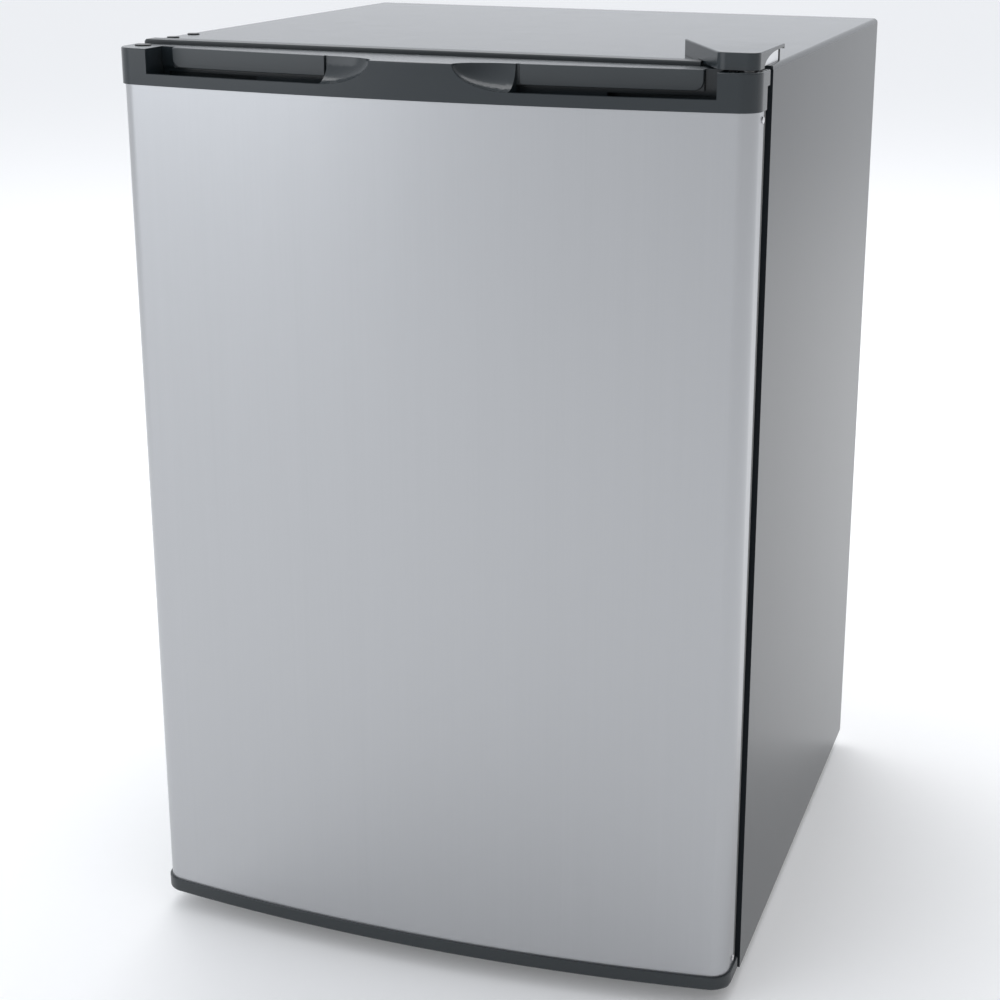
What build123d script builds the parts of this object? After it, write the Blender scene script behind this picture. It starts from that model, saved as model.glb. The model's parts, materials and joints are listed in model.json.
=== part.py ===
"""Compact single-door refrigerator, built piece by piece in millimetres.

Frame: the origin is on the floor under the middle of the appliance. +X is to the right of a
person who faces the door, the door faces -Y, and +Z is up. Every piece is drawn where it sits
in the closed appliance and is written to parts/ under its own name.
"""

import os
from math import sqrt

from build123d import *

os.makedirs("parts", exist_ok=True)

# ---------------------------------------------------------------- driving dimensions
WIDTH = 520.0  # over the side walls of the steel wrapper
DEPTH = 560.0  # from the crown of the door to the condenser brackets
TOP = 767.0  # upper face of the wrapper above the floor
BASE = 14.0  # lower edge of the side walls above the floor
SHEET = 0.8  # steel sheet
SKIN = 2.0  # vacuum-formed liners

DOOR_CROWN = 66.0  # crown of the bowed door, ahead of the cabinet's front
DOOR_GAP = 10.0  # between the door's frame and the cabinet, filled by the gasket
BOW_RADIUS = 1734.0
DOOR_CORNER = 18.0  # plan radius of the door's vertical edges
HINGE_X = 247.0
HINGE_AHEAD = 24.0  # hinge axis ahead of the cabinet's front
PIN_RADIUS = 4.0
FIT = 0.05  # radial running clearance of every pin and stud
CLEAR = 0.1  # radial clearance round fixed screws

CABIN_HALF = 215.0  # half width inside the liner
CABIN_FLOOR = 60.0
CABIN_CEILING = 722.0
CABIN_BACK = 214.0
STEP_FRONT = 72.0  # liner step over the compressor bay
STEP_TOP = 254.0
BAY_FRONT = 108.0
BAY_ROOF = 216.0

# ---------------------------------------------------------------- worked-out places
HALF = WIDTH / 2
CROWN_Y = -DEPTH / 2
FRONT = CROWN_Y + DOOR_CROWN  # front plane of the cabinet
REAR = DEPTH / 2
CONDENSER_ROOM = 14.0
BACK = REAR - CONDENSER_ROOM  # outer face of the back panel
BOW_CENTRE_Y = CROWN_Y + BOW_RADIUS
HINGE_Y = FRONT - HINGE_AHEAD
DOOR_BACK = FRONT - DOOR_GAP
FRAME_FRONT = DOOR_BACK - 8.0  # front face of the door's rear frame

TRIM_LOW, TRIM_HIGH = 18.0, 30.0  # bottom trim of the door
CAP_LOW, CAP_HIGH = 737.0, 765.5  # top cap of the door
FRAME_TOP = 754.0
LIP_TOP = 746.0  # lower lip of the finger pockets
POCKET_INNER, POCKET_OUTER = 76.0, 230.0  # finger slot, from the door's middle
DISH_REACH = 43.0
DISH_RADIUS = CAP_HIGH - LIP_TOP
PLATE_SETBACK = 19.0
PLATE_THICK = 2.0

SHELF_LEVELS = (372.0, 520.0)  # underside of each glass shelf
GLASS = 4.0
SHELF_FRONT, SHELF_REAR = FRONT + 110.0, 196.0


def block(low, high, mode=Mode.ADD):
    """Add a box between two opposite corners to the part that is being built."""
    size = [b - a for a, b in zip(low, high)]
    middle = [(a + b) / 2 for a, b in zip(low, high)]
    with Locations(tuple(middle)):
        Box(*size, mode=mode)


def rod(start, radius, length, direction=Axis.Z.direction, mode=Mode.ADD):
    """Add a round bar that starts at a point and runs along a direction."""
    with Locations(Plane(origin=start, z_dir=direction)):
        Cylinder(radius, length, align=(Align.CENTER, Align.CENTER, Align.MIN), mode=mode)


def door_plan(height, inset, back):
    """Sketch the door's bowed plan at a height, shrunk by inset, as far back as y = back."""
    with BuildSketch(Plane.XY.offset(height)) as plan:
        with Locations((0, BOW_CENTRE_Y)):
            Circle(BOW_RADIUS - inset)
        with Locations((0, back)):
            Rectangle(WIDTH - 2 * inset, 2 * DOOR_CROWN, align=(Align.CENTER, Align.MAX),
                      mode=Mode.INTERSECT)
        fillet(plan.vertices().group_by(Axis.Y)[0], DOOR_CORNER - inset)
    return plan.sketch


def bow_band(height, left, right, near, far):
    """Sketch the band that lies between two depths behind the door's bowed face."""
    with BuildSketch(Plane.XY.offset(height)) as band:
        with Locations((0, BOW_CENTRE_Y)):
            Circle(BOW_RADIUS - near)
            Circle(BOW_RADIUS - far, mode=Mode.SUBTRACT)
        with Locations(((left + right) / 2, CROWN_Y)):
            Rectangle(right - left, 4 * DOOR_CROWN, mode=Mode.INTERSECT)
    return band.sketch


def bow_y(x):
    """Depth of the door's bowed face at a distance x from its middle."""
    return BOW_CENTRE_Y - sqrt(BOW_RADIUS**2 - x**2)


def save(part, name):
    """Label a finished piece and write it to its STEP file."""
    part.label = name
    export_step(part, f"parts/{name}.step")


# ================================================================ cabinet shell
BEND = 4.0
FLANGE = 10.0
PLUG_X, PLUG_YS = -251.0, (FRONT + 31.0, FRONT + 65.0)  # for the hinge of a reversed door
HINGE_SEATS = ((244.0, FRONT + 18.0), (232.0, FRONT + 32.0))
TOP_HOLES = {-1: [(PLUG_X, y) for y in PLUG_YS], 1: HINGE_SEATS}
PLUG_RADIUS = 4.2

with BuildPart() as outer_wrapper:
    with BuildSketch(Plane.XZ.offset(-BACK)) as wrap:
        with Locations((0, BASE)):
            Rectangle(WIDTH, TOP - BASE, align=(Align.CENTER, Align.MIN))
        fillet(wrap.vertices().group_by(Axis.Y)[-1], BEND)
        with BuildSketch(Plane.XZ.offset(-BACK), mode=Mode.SUBTRACT) as hollow:
            with Locations((0, BASE)):
                Rectangle(WIDTH - 2 * SHEET, TOP - BASE - SHEET, align=(Align.CENTER, Align.MIN))
            fillet(hollow.vertices().group_by(Axis.Y)[-1], BEND - SHEET)
    extrude(amount=BACK - FRONT)
    with BuildSketch(Plane.XZ.offset(-FRONT)):
        with Locations((0, BASE)):
            Rectangle(WIDTH - SHEET, TOP - BASE - SHEET / 2, align=(Align.CENTER, Align.MIN))
            Rectangle(WIDTH - 2 * FLANGE, TOP - BASE - FLANGE, align=(Align.CENTER, Align.MIN),
                      mode=Mode.SUBTRACT)
    extrude(amount=-SHEET)
    for side in (-1, 1):
        for hole in TOP_HOLES[side]:
            rod((*hole, TOP - 2 * SHEET), PLUG_RADIUS, 3 * SHEET, mode=Mode.SUBTRACT)
save(outer_wrapper.part, "outer_wrapper")

TRIM_STRIP_LEFT, TRIM_STRIP_RIGHT = -258.0, 206.0
STRIP_LIP = 1.5
with BuildPart() as top_front_trim:
    block((TRIM_STRIP_LEFT, FRONT - 4, TOP - 5.5), (TRIM_STRIP_RIGHT, FRONT, TOP + STRIP_LIP))
    block((TRIM_STRIP_LEFT, FRONT, TOP), (TRIM_STRIP_RIGHT, FRONT + 10, TOP + STRIP_LIP))
    front_edges = top_front_trim.edges().filter_by(Axis.X).group_by(Axis.Y)[0]
    fillet(front_edges, 1.4)
    corner = top_front_trim.edges().filter_by(Axis.Z).group_by(Axis.X)[0].sort_by(Axis.Y)[0]
    fillet(corner, 2.5)
save(top_front_trim.part, "top_front_trim")

PANEL_RIB = 1.6
with BuildPart() as back_panel:
    side = HALF - SHEET - CLEAR
    block((-side, BACK - SHEET, BAY_ROOF + SHEET), (side, BACK, TOP - SHEET - CLEAR))
    fillet(back_panel.edges().filter_by(Axis.Y).group_by(Axis.Z)[-1], BEND)
    # a pressed frame line stiffens the sheet
    block((-HALF + 30, BACK, TOP - 22), (HALF - 30, BACK + PANEL_RIB, TOP - 14))
    for rib_x in (-HALF + 16, HALF - 24):
        block((rib_x, BACK, BAY_ROOF + 20), (rib_x + 8, BACK + PANEL_RIB, TOP - 14))
save(back_panel.part, "back_panel")

PAN_HALF = HALF - SHEET - 0.4
FOOT_X, FOOT_Y = 190.0, FRONT + 34.0
LOWER_SCREWS = ((232.0, FRONT + 19.0), (232.0, FRONT + 49.0))
SCREW_RADIUS = 2.5
DRAIN_X, DRAIN_Y, DRAIN_RADIUS = 60.0, 202.0, 5.0
with BuildPart() as base_pan:
    floor_z = BASE + SHEET
    block((-PAN_HALF, FRONT + 1, floor_z), (PAN_HALF, BAY_FRONT, floor_z + SHEET))
    block((-PAN_HALF, BAY_FRONT - SHEET, floor_z), (PAN_HALF, BAY_FRONT, BAY_ROOF + SHEET))
    block((-PAN_HALF, BAY_FRONT - SHEET, BAY_ROOF), (PAN_HALF, BACK, BAY_ROOF + SHEET))
    for foot_side in (-1, 1):
        rod((foot_side * FOOT_X, FOOT_Y, BASE), PIN_RADIUS + FIT, 4, mode=Mode.SUBTRACT)
    for screw_x, screw_y in LOWER_SCREWS:
        rod((screw_x, screw_y, BASE), SCREW_RADIUS + CLEAR, 4, mode=Mode.SUBTRACT)
    rod((DRAIN_X, DRAIN_Y, BAY_ROOF - 2), DRAIN_RADIUS + 1, 6, mode=Mode.SUBTRACT)
save(base_pan.part, "base_pan")

# ================================================================ insulation
FOAM_SIDE = CABIN_HALF + SKIN
FOAM_BOTTOM = BASE + 2 * SHEET + 0.2
FOAM_FRONT = FRONT + SKIN
FOAM_BACK = BACK - SHEET
FOAM_TOP = TOP - SHEET
FOAM_OUT = HALF - SHEET
PLUG_DEPTH = 14.0

for side, name in ((-1, "foam_left"), (1, "foam_right")):
    with BuildPart() as foam_side:
        xs = sorted((side * FOAM_SIDE, side * FOAM_OUT))
        block((xs[0], FOAM_FRONT, FOAM_BOTTOM), (xs[1], FOAM_BACK, FOAM_TOP))
        block((xs[0], BAY_FRONT - SHEET, FOAM_BOTTOM), (xs[1], FOAM_BACK, BAY_ROOF + SHEET),
              mode=Mode.SUBTRACT)
        upper_edge = foam_side.edges().filter_by(Axis.Y).group_by(Axis.Z)[-1]
        fillet(upper_edge.sort_by(Axis.X)[-1 if side > 0 else 0], BEND - SHEET)
        for hole in TOP_HOLES[side]:
            rod((*hole, FOAM_TOP - PLUG_DEPTH), PLUG_RADIUS, PLUG_DEPTH, mode=Mode.SUBTRACT)
    save(foam_side.part, name)

with BuildPart() as foam_top:
    block((-FOAM_SIDE, FOAM_FRONT, CABIN_CEILING + SKIN), (FOAM_SIDE, FOAM_BACK, FOAM_TOP))
save(foam_top.part, "foam_top")

with BuildPart() as foam_back:
    block((-FOAM_SIDE, CABIN_BACK + SKIN, BAY_ROOF + SHEET),
          (FOAM_SIDE, FOAM_BACK, CABIN_CEILING + SKIN))
save(foam_back.part, "foam_back")

with BuildPart() as foam_floor:
    block((-FOAM_SIDE, FOAM_FRONT, FOAM_BOTTOM),
          (FOAM_SIDE, STEP_FRONT + SKIN, CABIN_FLOOR - SKIN))
    for foot_side in (-1, 1):
        rod((foot_side * FOOT_X, FOOT_Y, FOAM_BOTTOM), 2 * PIN_RADIUS, 26, mode=Mode.SUBTRACT)
save(foam_floor.part, "foam_floor")

with BuildPart() as foam_step:
    block((-FOAM_SIDE, STEP_FRONT + SKIN, FOAM_BOTTOM),
          (FOAM_SIDE, BAY_FRONT - SHEET, BAY_ROOF + SHEET))
    block((-FOAM_SIDE, STEP_FRONT + SKIN, BAY_ROOF + SHEET),
          (FOAM_SIDE, CABIN_BACK + SKIN, STEP_TOP - SKIN))
    rod((DRAIN_X, DRAIN_Y, BAY_ROOF), DRAIN_RADIUS + 1, 40, mode=Mode.SUBTRACT)
save(foam_step.part, "foam_step")

# ================================================================ inner liner
LEDGE_REACH, LEDGE_HEIGHT = 5.0, 5.0
LINER_CORNER = 10.0
with BuildPart() as inner_liner:
    with BuildSketch(Plane.YZ.offset(-FOAM_SIDE)):
        with BuildLine():
            Polyline(
                (FRONT, CABIN_FLOOR - SKIN),
                (STEP_FRONT + SKIN, CABIN_FLOOR - SKIN),
                (STEP_FRONT + SKIN, STEP_TOP - SKIN),
                (CABIN_BACK + SKIN, STEP_TOP - SKIN),
                (CABIN_BACK + SKIN, CABIN_CEILING + SKIN),
                (FRONT, CABIN_CEILING + SKIN),
                close=True,
            )
        make_face()
    extrude(amount=2 * FOAM_SIDE)
    block((-HALF + FLANGE, FRONT, BASE + 2), (HALF - FLANGE, FOAM_FRONT, TOP - FLANGE))
    with BuildSketch(Plane.YZ.offset(-CABIN_HALF)):
        with BuildLine():
            Polyline(
                (FRONT - 1, CABIN_FLOOR),
                (STEP_FRONT, CABIN_FLOOR),
                (STEP_FRONT, STEP_TOP),
                (CABIN_BACK, STEP_TOP),
                (CABIN_BACK, CABIN_CEILING),
                (FRONT - 1, CABIN_CEILING),
                close=True,
            )
        make_face()
    extrude(amount=2 * CABIN_HALF, mode=Mode.SUBTRACT)
    inner_corners = inner_liner.edges().filter_by(Axis.X).filter_by(
        lambda e: abs(e.length - 2 * CABIN_HALF) < 0.1 and e.center().Y > FRONT + 50)
    fillet(inner_corners, 1.6)
    for side in (-1, 1):
        xs = sorted((side * CABIN_HALF, side * (CABIN_HALF - LEDGE_REACH)))
        for level in SHELF_LEVELS:
            block((xs[0], SHELF_FRONT + 8, level - LEDGE_HEIGHT), (xs[1], SHELF_REAR, level))
        block((xs[0], SHELF_FRONT + 8, STEP_TOP + 2 - LEDGE_HEIGHT),
              (xs[1], STEP_FRONT, STEP_TOP + 2))
    rod((DRAIN_X, DRAIN_Y, STEP_TOP - 4), DRAIN_RADIUS + 1, 8, mode=Mode.SUBTRACT)
save(inner_liner.part, "inner_liner")

# ================================================================ cooling system
COMPRESSOR_X, COMPRESSOR_Y = 60.0, 188.0
COMPRESSOR_LONG, COMPRESSOR_WIDE = 190.0, 130.0
COMPRESSOR_LOW, COMPRESSOR_HIGH = 34.0, 180.0
SHELL_WALL = 5.0
MOUNT_XS, MOUNT_YS = (COMPRESSOR_X - 105, COMPRESSOR_X + 105), (150.0, 226.0)
PLATE_LOW, PLATE_HIGH = 16.0, 18.5
BRACKET_LOW, BRACKET_HIGH = 29.0, 32.0


def compressor_shell(grow, low, high, rounding):
    """Build a rounded oval pot between two heights, grown sideways by a margin."""
    with BuildPart() as pot:
        with BuildSketch(Plane.XY.offset(low)):
            with Locations((COMPRESSOR_X, COMPRESSOR_Y)):
                Ellipse(COMPRESSOR_LONG / 2 + grow, COMPRESSOR_WIDE / 2 + grow)
        extrude(amount=high - low)
        fillet(pot.faces().filter_by(Axis.Z).edges(), rounding)
    return pot.part


pot_outer = compressor_shell(0, COMPRESSOR_LOW, COMPRESSOR_HIGH, 32)
pot_inner = compressor_shell(-SHELL_WALL, COMPRESSOR_LOW + SHELL_WALL,
                             COMPRESSOR_HIGH - SHELL_WALL, 27)
with BuildPart() as compressor:
    add(pot_outer)
    with BuildSketch(Plane.XY.offset(118)):
        with Locations((COMPRESSOR_X, COMPRESSOR_Y)):
            Ellipse(COMPRESSOR_LONG / 2 + 3.5, COMPRESSOR_WIDE / 2 + 3.5)
    extrude(amount=4)
    # welded foot bracket under the pot
    block((MOUNT_XS[0] - 14, MOUNT_YS[0] - 14, BRACKET_LOW),
          (MOUNT_XS[1] + 14, MOUNT_YS[1] + 14, BRACKET_HIGH))
    rod((COMPRESSOR_X, COMPRESSOR_Y, BRACKET_HIGH - 1), 40, COMPRESSOR_LOW - BRACKET_HIGH + 3)
    add(pot_inner, mode=Mode.SUBTRACT)
    for mount_x in MOUNT_XS:
        for mount_y in MOUNT_YS:
            rod((mount_x, mount_y, BRACKET_LOW - 1), 3 + CLEAR, 6, mode=Mode.SUBTRACT)
save(compressor.part, "compressor")

GLAND_X, GLAND_Z, GLAND_RADIUS = -200.0, 29.0, 6.0
RAIL_FRONT, RAIL_BACK, RAIL_HEIGHT = 122.0, 262.0, 24.0
REAR_FOOT_X, REAR_FOOT_Y, REAR_FOOT_RADIUS = 215.0, 236.0, 15.0
with BuildPart() as compressor_plate:
    block((-PAN_HALF, RAIL_FRONT, PLATE_LOW), (PAN_HALF, RAIL_BACK, PLATE_HIGH))
    for rail_y in (RAIL_FRONT, RAIL_BACK - 2):
        block((-PAN_HALF, rail_y, PLATE_LOW), (PAN_HALF, rail_y + 2, PLATE_LOW + RAIL_HEIGHT))
    for mount_x in MOUNT_XS:
        for mount_y in MOUNT_YS:
            rod((mount_x, mount_y, PLATE_LOW - 1), 3 + CLEAR, 6, mode=Mode.SUBTRACT)
    rod((GLAND_X, RAIL_BACK - 6, GLAND_Z), GLAND_RADIUS, 10, (0, 1, 0), mode=Mode.SUBTRACT)
    for foot_side in (-1, 1):
        rod((foot_side * REAR_FOOT_X, REAR_FOOT_Y, PLATE_LOW - 1), 4 + CLEAR, 6,
            mode=Mode.SUBTRACT)
save(compressor_plate.part, "compressor_plate")

with BuildPart() as compressor_grommets:
    for mount_x in MOUNT_XS:
        for mount_y in MOUNT_YS:
            rod((mount_x, mount_y, PLATE_HIGH), 11, BRACKET_LOW - PLATE_HIGH)
            with Locations((mount_x, mount_y, (PLATE_HIGH + BRACKET_LOW) / 2)):
                Torus(11, 1.5, mode=Mode.SUBTRACT)
            rod((mount_x, mount_y, PLATE_HIGH), 3 + CLEAR, 14, mode=Mode.SUBTRACT)
save(compressor_grommets.part, "compressor_grommets")

with BuildPart() as compressor_bolts:
    for mount_x in MOUNT_XS:
        for mount_y in MOUNT_YS:
            rod((mount_x, mount_y, PLATE_LOW - 0.5), 3, BRACKET_HIGH + 7 - PLATE_LOW)
            rod((mount_x, mount_y, BRACKET_HIGH), 9, 1.5)
            with BuildSketch(Plane.XY.offset(BRACKET_HIGH + 1.5)):
                with Locations((mount_x, mount_y)):
                    RegularPolygon(5.5, 6)
            extrude(amount=4)
            with BuildSketch(Plane.XY.offset(PLATE_LOW - 4)):
                with Locations((mount_x, mount_y)):
                    RegularPolygon(5.5, 6)
            extrude(amount=4)
save(compressor_bolts.part, "compressor_bolts")

RELAY_RIGHT = COMPRESSOR_X - COMPRESSOR_LONG / 2 - 0.5
with BuildPart() as relay_box:
    block((RELAY_RIGHT - 42, 164, 66), (RELAY_RIGHT, 212, 112))
    fillet(relay_box.edges().filter_by(Axis.Z), 6)
    outer_face = relay_box.faces().sort_by(Axis.X)[0]
    fillet(outer_face.edges(), 3)
    block((RELAY_RIGHT - 39, 160, 84), (RELAY_RIGHT - 20, 216, 94))
save(relay_box.part, "relay_box")

PAN_LOW, PAN_HIGH = COMPRESSOR_HIGH + 0.5, 202.0
with BuildPart() as evaporation_pan:
    block((COMPRESSOR_X - 84, 134, PAN_LOW), (COMPRESSOR_X + 84, 246, PAN_HIGH))
    fillet(evaporation_pan.edges().filter_by(Axis.Z), 14)
    offset(amount=-2, openings=evaporation_pan.faces().sort_by(Axis.Z)[-1])
save(evaporation_pan.part, "evaporation_pan")

TUBE_RADIUS, WIRE_RADIUS = 2.5, 0.8
CONDENSER_Y = BACK + 7.0
ROW_LOW, ROW_PITCH, ROW_COUNT = 250.0, 46.0, 11
ROW_HALF = 222.0
TURN = ROW_PITCH / 2 - 0.5
RISER_X, RETURN_X = ROW_HALF, -240.0
DRIER_X, DRIER_Y, DRIER_LOW, DRIER_HIGH, DRIER_RADIUS = -150.0, 196.0, 70.0, 160.0, 9.0
SHELL_EXIT_Z = 90.0
TUBE_START = (COMPRESSOR_X + COMPRESSOR_LONG / 2 + 0.3, COMPRESSOR_Y, SHELL_EXIT_Z)

condenser_route = [TUBE_START, (RISER_X, COMPRESSOR_Y, SHELL_EXIT_Z),
                   (RISER_X, CONDENSER_Y, SHELL_EXIT_Z)]
condenser_bends = [16.0, 16.0]
for row in range(ROW_COUNT):
    row_z = ROW_LOW + row * ROW_PITCH
    ends = (ROW_HALF, -ROW_HALF) if row % 2 == 0 else (-ROW_HALF, ROW_HALF)
    condenser_route += [(ends[0], CONDENSER_Y, row_z), (ends[1], CONDENSER_Y, row_z)]
    condenser_bends += [TURN, TURN]
condenser_route[-1] = (RETURN_X, CONDENSER_Y, condenser_route[-1][2])
condenser_route += [
    (RETURN_X, CONDENSER_Y, 190.0),
    (RETURN_X, DRIER_Y, 190.0),
    (DRIER_X, DRIER_Y, 190.0),
    (DRIER_X, DRIER_Y, DRIER_HIGH + 0.3),
]
condenser_bends += [12.0, 12.0, 12.0]

with BuildPart() as condenser_tube:
    with BuildLine() as condenser_line:
        FilletPolyline(*condenser_route, radius=condenser_bends)
    with BuildSketch(condenser_line.line ^ 0):
        Circle(TUBE_RADIUS)
    sweep()
save(condenser_tube.part, "condenser_tube")

WIRE_PITCH, WIRE_COUNT = 15.0, 27
with BuildPart() as condenser_wires:
    wire_y = CONDENSER_Y + TUBE_RADIUS + WIRE_RADIUS + 0.02
    for wire in range(WIRE_COUNT):
        wire_x = (wire - (WIRE_COUNT - 1) / 2) * WIRE_PITCH
        rod((wire_x, wire_y, ROW_LOW - 8), WIRE_RADIUS, (ROW_COUNT - 1) * ROW_PITCH + 16)
save(condenser_wires.part, "condenser_wires")

BRACKET_ROWS = (1, ROW_COUNT - 2)
BRACKET_X = 157.5
with BuildPart() as condenser_brackets:
    for row in BRACKET_ROWS:
        row_z = ROW_LOW + row * ROW_PITCH
        for side in (-1, 1):
            low_corner = (side * BRACKET_X - 6, BACK, row_z - 9)
            block(low_corner, (side * BRACKET_X + 6, REAR, row_z + 9))
            rod((side * BRACKET_X - 7, CONDENSER_Y, row_z), TUBE_RADIUS + CLEAR, 14, (1, 0, 0),
                mode=Mode.SUBTRACT)
save(condenser_brackets.part, "condenser_brackets")

with BuildPart() as filter_drier:
    with BuildSketch(Plane.XZ.offset(-DRIER_Y)):
        with BuildLine():
            Polyline(
                (DRIER_X, DRIER_LOW),
                (DRIER_X + 2, DRIER_LOW),
                (DRIER_X + DRIER_RADIUS, DRIER_LOW + 12),
                (DRIER_X + DRIER_RADIUS, DRIER_HIGH - 12),
                (DRIER_X + 3.2, DRIER_HIGH),
                (DRIER_X, DRIER_HIGH),
                close=True,
            )
        make_face()
    revolve(axis=Axis((DRIER_X, DRIER_Y, 0), (0, 0, 1)))
save(filter_drier.part, "filter_drier")

SUCTION_X, CAPILLARY_X = -76.0, -112.0
with BuildPart() as refrigerant_lines:
    with BuildLine() as suction_line:
        FilletPolyline((COMPRESSOR_X - 70, COMPRESSOR_Y - 52, 150.0),
                       (SUCTION_X, COMPRESSOR_Y - 52, 150.0),
                       (SUCTION_X, COMPRESSOR_Y - 52, BAY_ROOF), radius=22)
    with BuildSketch(suction_line.line ^ 0):
        Circle(3.2)
    sweep(path=suction_line.line)
    with BuildLine() as capillary_line:
        FilletPolyline((DRIER_X, DRIER_Y, DRIER_LOW - 0.3), (DRIER_X, DRIER_Y, 48.0),
                       (CAPILLARY_X, DRIER_Y, 48.0), (CAPILLARY_X, DRIER_Y, BAY_ROOF), radius=9)
    with BuildSketch(capillary_line.line ^ 0):
        Circle(1.2)
    sweep(path=capillary_line.line)
save(refrigerant_lines.part, "refrigerant_lines")

COLD_HALF, COLD_LOW, COLD_HIGH, COLD_Y = 172.0, 300.0, 690.0, 206.0
with BuildPart() as evaporator_plate:
    block((-COLD_HALF, COLD_Y, COLD_LOW), (COLD_HALF, COLD_Y + 1.5, COLD_HIGH))
    fillet(evaporator_plate.edges().filter_by(Axis.Y), 8)
    for spacer_x in (-COLD_HALF + 20, COLD_HALF - 20):
        for spacer_z in (COLD_LOW + 20, COLD_HIGH - 20):
            rod((spacer_x, COLD_Y, spacer_z), 6, CABIN_BACK - COLD_Y, (0, 1, 0))
    # refrigerant passage, blown up as a ridge on the plate's face
    passages = 8
    for passage in range(passages):
        ridge_z = COLD_LOW + 32 + passage * (COLD_HIGH - COLD_LOW - 64) / (passages - 1)
        with Locations(Plane(origin=(0, COLD_Y, ridge_z), z_dir=(1, 0, 0))):
            Cylinder(3.5, 2 * COLD_HALF - 70)
save(evaporator_plate.part, "evaporator_plate")

TROUGH_LOW, TROUGH_HIGH = 264.0, 282.0
with BuildPart() as drain_trough:
    block((-178, 190, TROUGH_LOW), (178, CABIN_BACK - 0.2, TROUGH_HIGH))
    block((-176, 192, TROUGH_LOW + 2), (176, CABIN_BACK - 2, TROUGH_HIGH), mode=Mode.SUBTRACT)
    rod((DRAIN_X, DRAIN_Y, PAN_HIGH + 2), DRAIN_RADIUS, TROUGH_LOW - PAN_HIGH)
    rod((DRAIN_X, DRAIN_Y, PAN_HIGH + 1), DRAIN_RADIUS - 1.2, 80, mode=Mode.SUBTRACT)
save(drain_trough.part, "drain_trough")

# ================================================================ controls and light
BOX_LEFT, BOX_RIGHT, BOX_FRONT, BOX_REAR, BOX_LOW = 40.0, 184.0, 20.0, 132.0, 674.0
KNOB_X, KNOB_Z, KNOB_RADIUS = 148.0, 698.0, 16.0
KNOB_SHAFT = 3.0
WINDOW_LOW, WINDOW_HIGH = (46.0, 40.0), (106.0, 122.0)
with BuildPart() as thermostat_housing:
    block((BOX_LEFT, BOX_FRONT, BOX_LOW), (BOX_RIGHT, BOX_REAR, CABIN_CEILING))
    fillet(thermostat_housing.edges().filter_by(Axis.Z), 6)
    fillet(thermostat_housing.faces().sort_by(Axis.Z)[0].edges(), 2.5)
    offset(amount=-2, openings=thermostat_housing.faces().sort_by(Axis.Z)[-1])
    block((*WINDOW_LOW, BOX_LOW - 1), (*WINDOW_HIGH, BOX_LOW + 4), mode=Mode.SUBTRACT)
    rod((KNOB_X, BOX_FRONT - 1, KNOB_Z), KNOB_SHAFT + FIT, 8, (0, 1, 0), mode=Mode.SUBTRACT)
save(thermostat_housing.part, "thermostat_housing")

with BuildPart() as lamp_lens:
    block((*WINDOW_LOW, BOX_LOW - 5), (*WINDOW_HIGH, BOX_LOW + 2))
    fillet(lamp_lens.faces().sort_by(Axis.Z)[0].edges(), 4)
    block((WINDOW_LOW[0] + 2, WINDOW_LOW[1] + 2, BOX_LOW - 3),
          (WINDOW_HIGH[0] - 2, WINDOW_HIGH[1] - 2, BOX_LOW + 2), mode=Mode.SUBTRACT)
save(lamp_lens.part, "lamp_lens")

BULB_X, BULB_Z, BULB_RADIUS = 76.0, 698.0, 11.0
with BuildPart() as lamp_bulb:
    with Locations((BULB_X, 62, BULB_Z)):
        Sphere(BULB_RADIUS)
    rod((BULB_X, 62, BULB_Z), 8, 24, (0, 1, 0))
    rod((BULB_X, 84, BULB_Z), 9.5, BOX_REAR - 2 - 84, (0, 1, 0))
save(lamp_bulb.part, "lamp_bulb")

with BuildPart() as thermostat_knob:
    rod((KNOB_X, BOX_FRONT - 0.4, KNOB_Z), KNOB_RADIUS, 5, (0, -1, 0))
    rod((KNOB_X, BOX_FRONT - 5.4, KNOB_Z), KNOB_RADIUS - 2, 9, (0, -1, 0))
    fillet(thermostat_knob.faces().sort_by(Axis.Y)[0].edges(), 1.5)
    block((KNOB_X - 2, BOX_FRONT - 16, KNOB_Z - KNOB_RADIUS + 3),
          (KNOB_X + 2, BOX_FRONT - 14, KNOB_Z + KNOB_RADIUS - 3))
    rod((KNOB_X, BOX_FRONT - 1, KNOB_Z), KNOB_SHAFT, 10, (0, 1, 0))
save(thermostat_knob.part, "thermostat_knob")

SWITCH_X, SWITCH_Z, PLUNGER_RADIUS = 165.0, 713.0, 4.0
SWITCH_FRONT, SWITCH_REAR = FRONT + 8.0, FRONT + 44.0
PLUNGER_TIP = DOOR_BACK + 0.4
with BuildPart() as switch_housing:
    block((SWITCH_X - 12, SWITCH_FRONT, SWITCH_Z - 8),
          (SWITCH_X + 12, SWITCH_REAR, CABIN_CEILING))
    fillet(switch_housing.edges().filter_by(Axis.Y).group_by(Axis.Z)[0], 3)
    rod((SWITCH_X, SWITCH_FRONT - 1, SWITCH_Z), PLUNGER_RADIUS + FIT, 26, (0, 1, 0),
        mode=Mode.SUBTRACT)
save(switch_housing.part, "switch_housing")

with BuildPart() as switch_plunger:
    rod((SWITCH_X, PLUNGER_TIP, SWITCH_Z), PLUNGER_RADIUS, SWITCH_FRONT + 20 - PLUNGER_TIP,
        (0, 1, 0))
    fillet(switch_plunger.faces().sort_by(Axis.Y)[0].edges(), 1.5)
save(switch_plunger.part, "switch_plunger")

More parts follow.
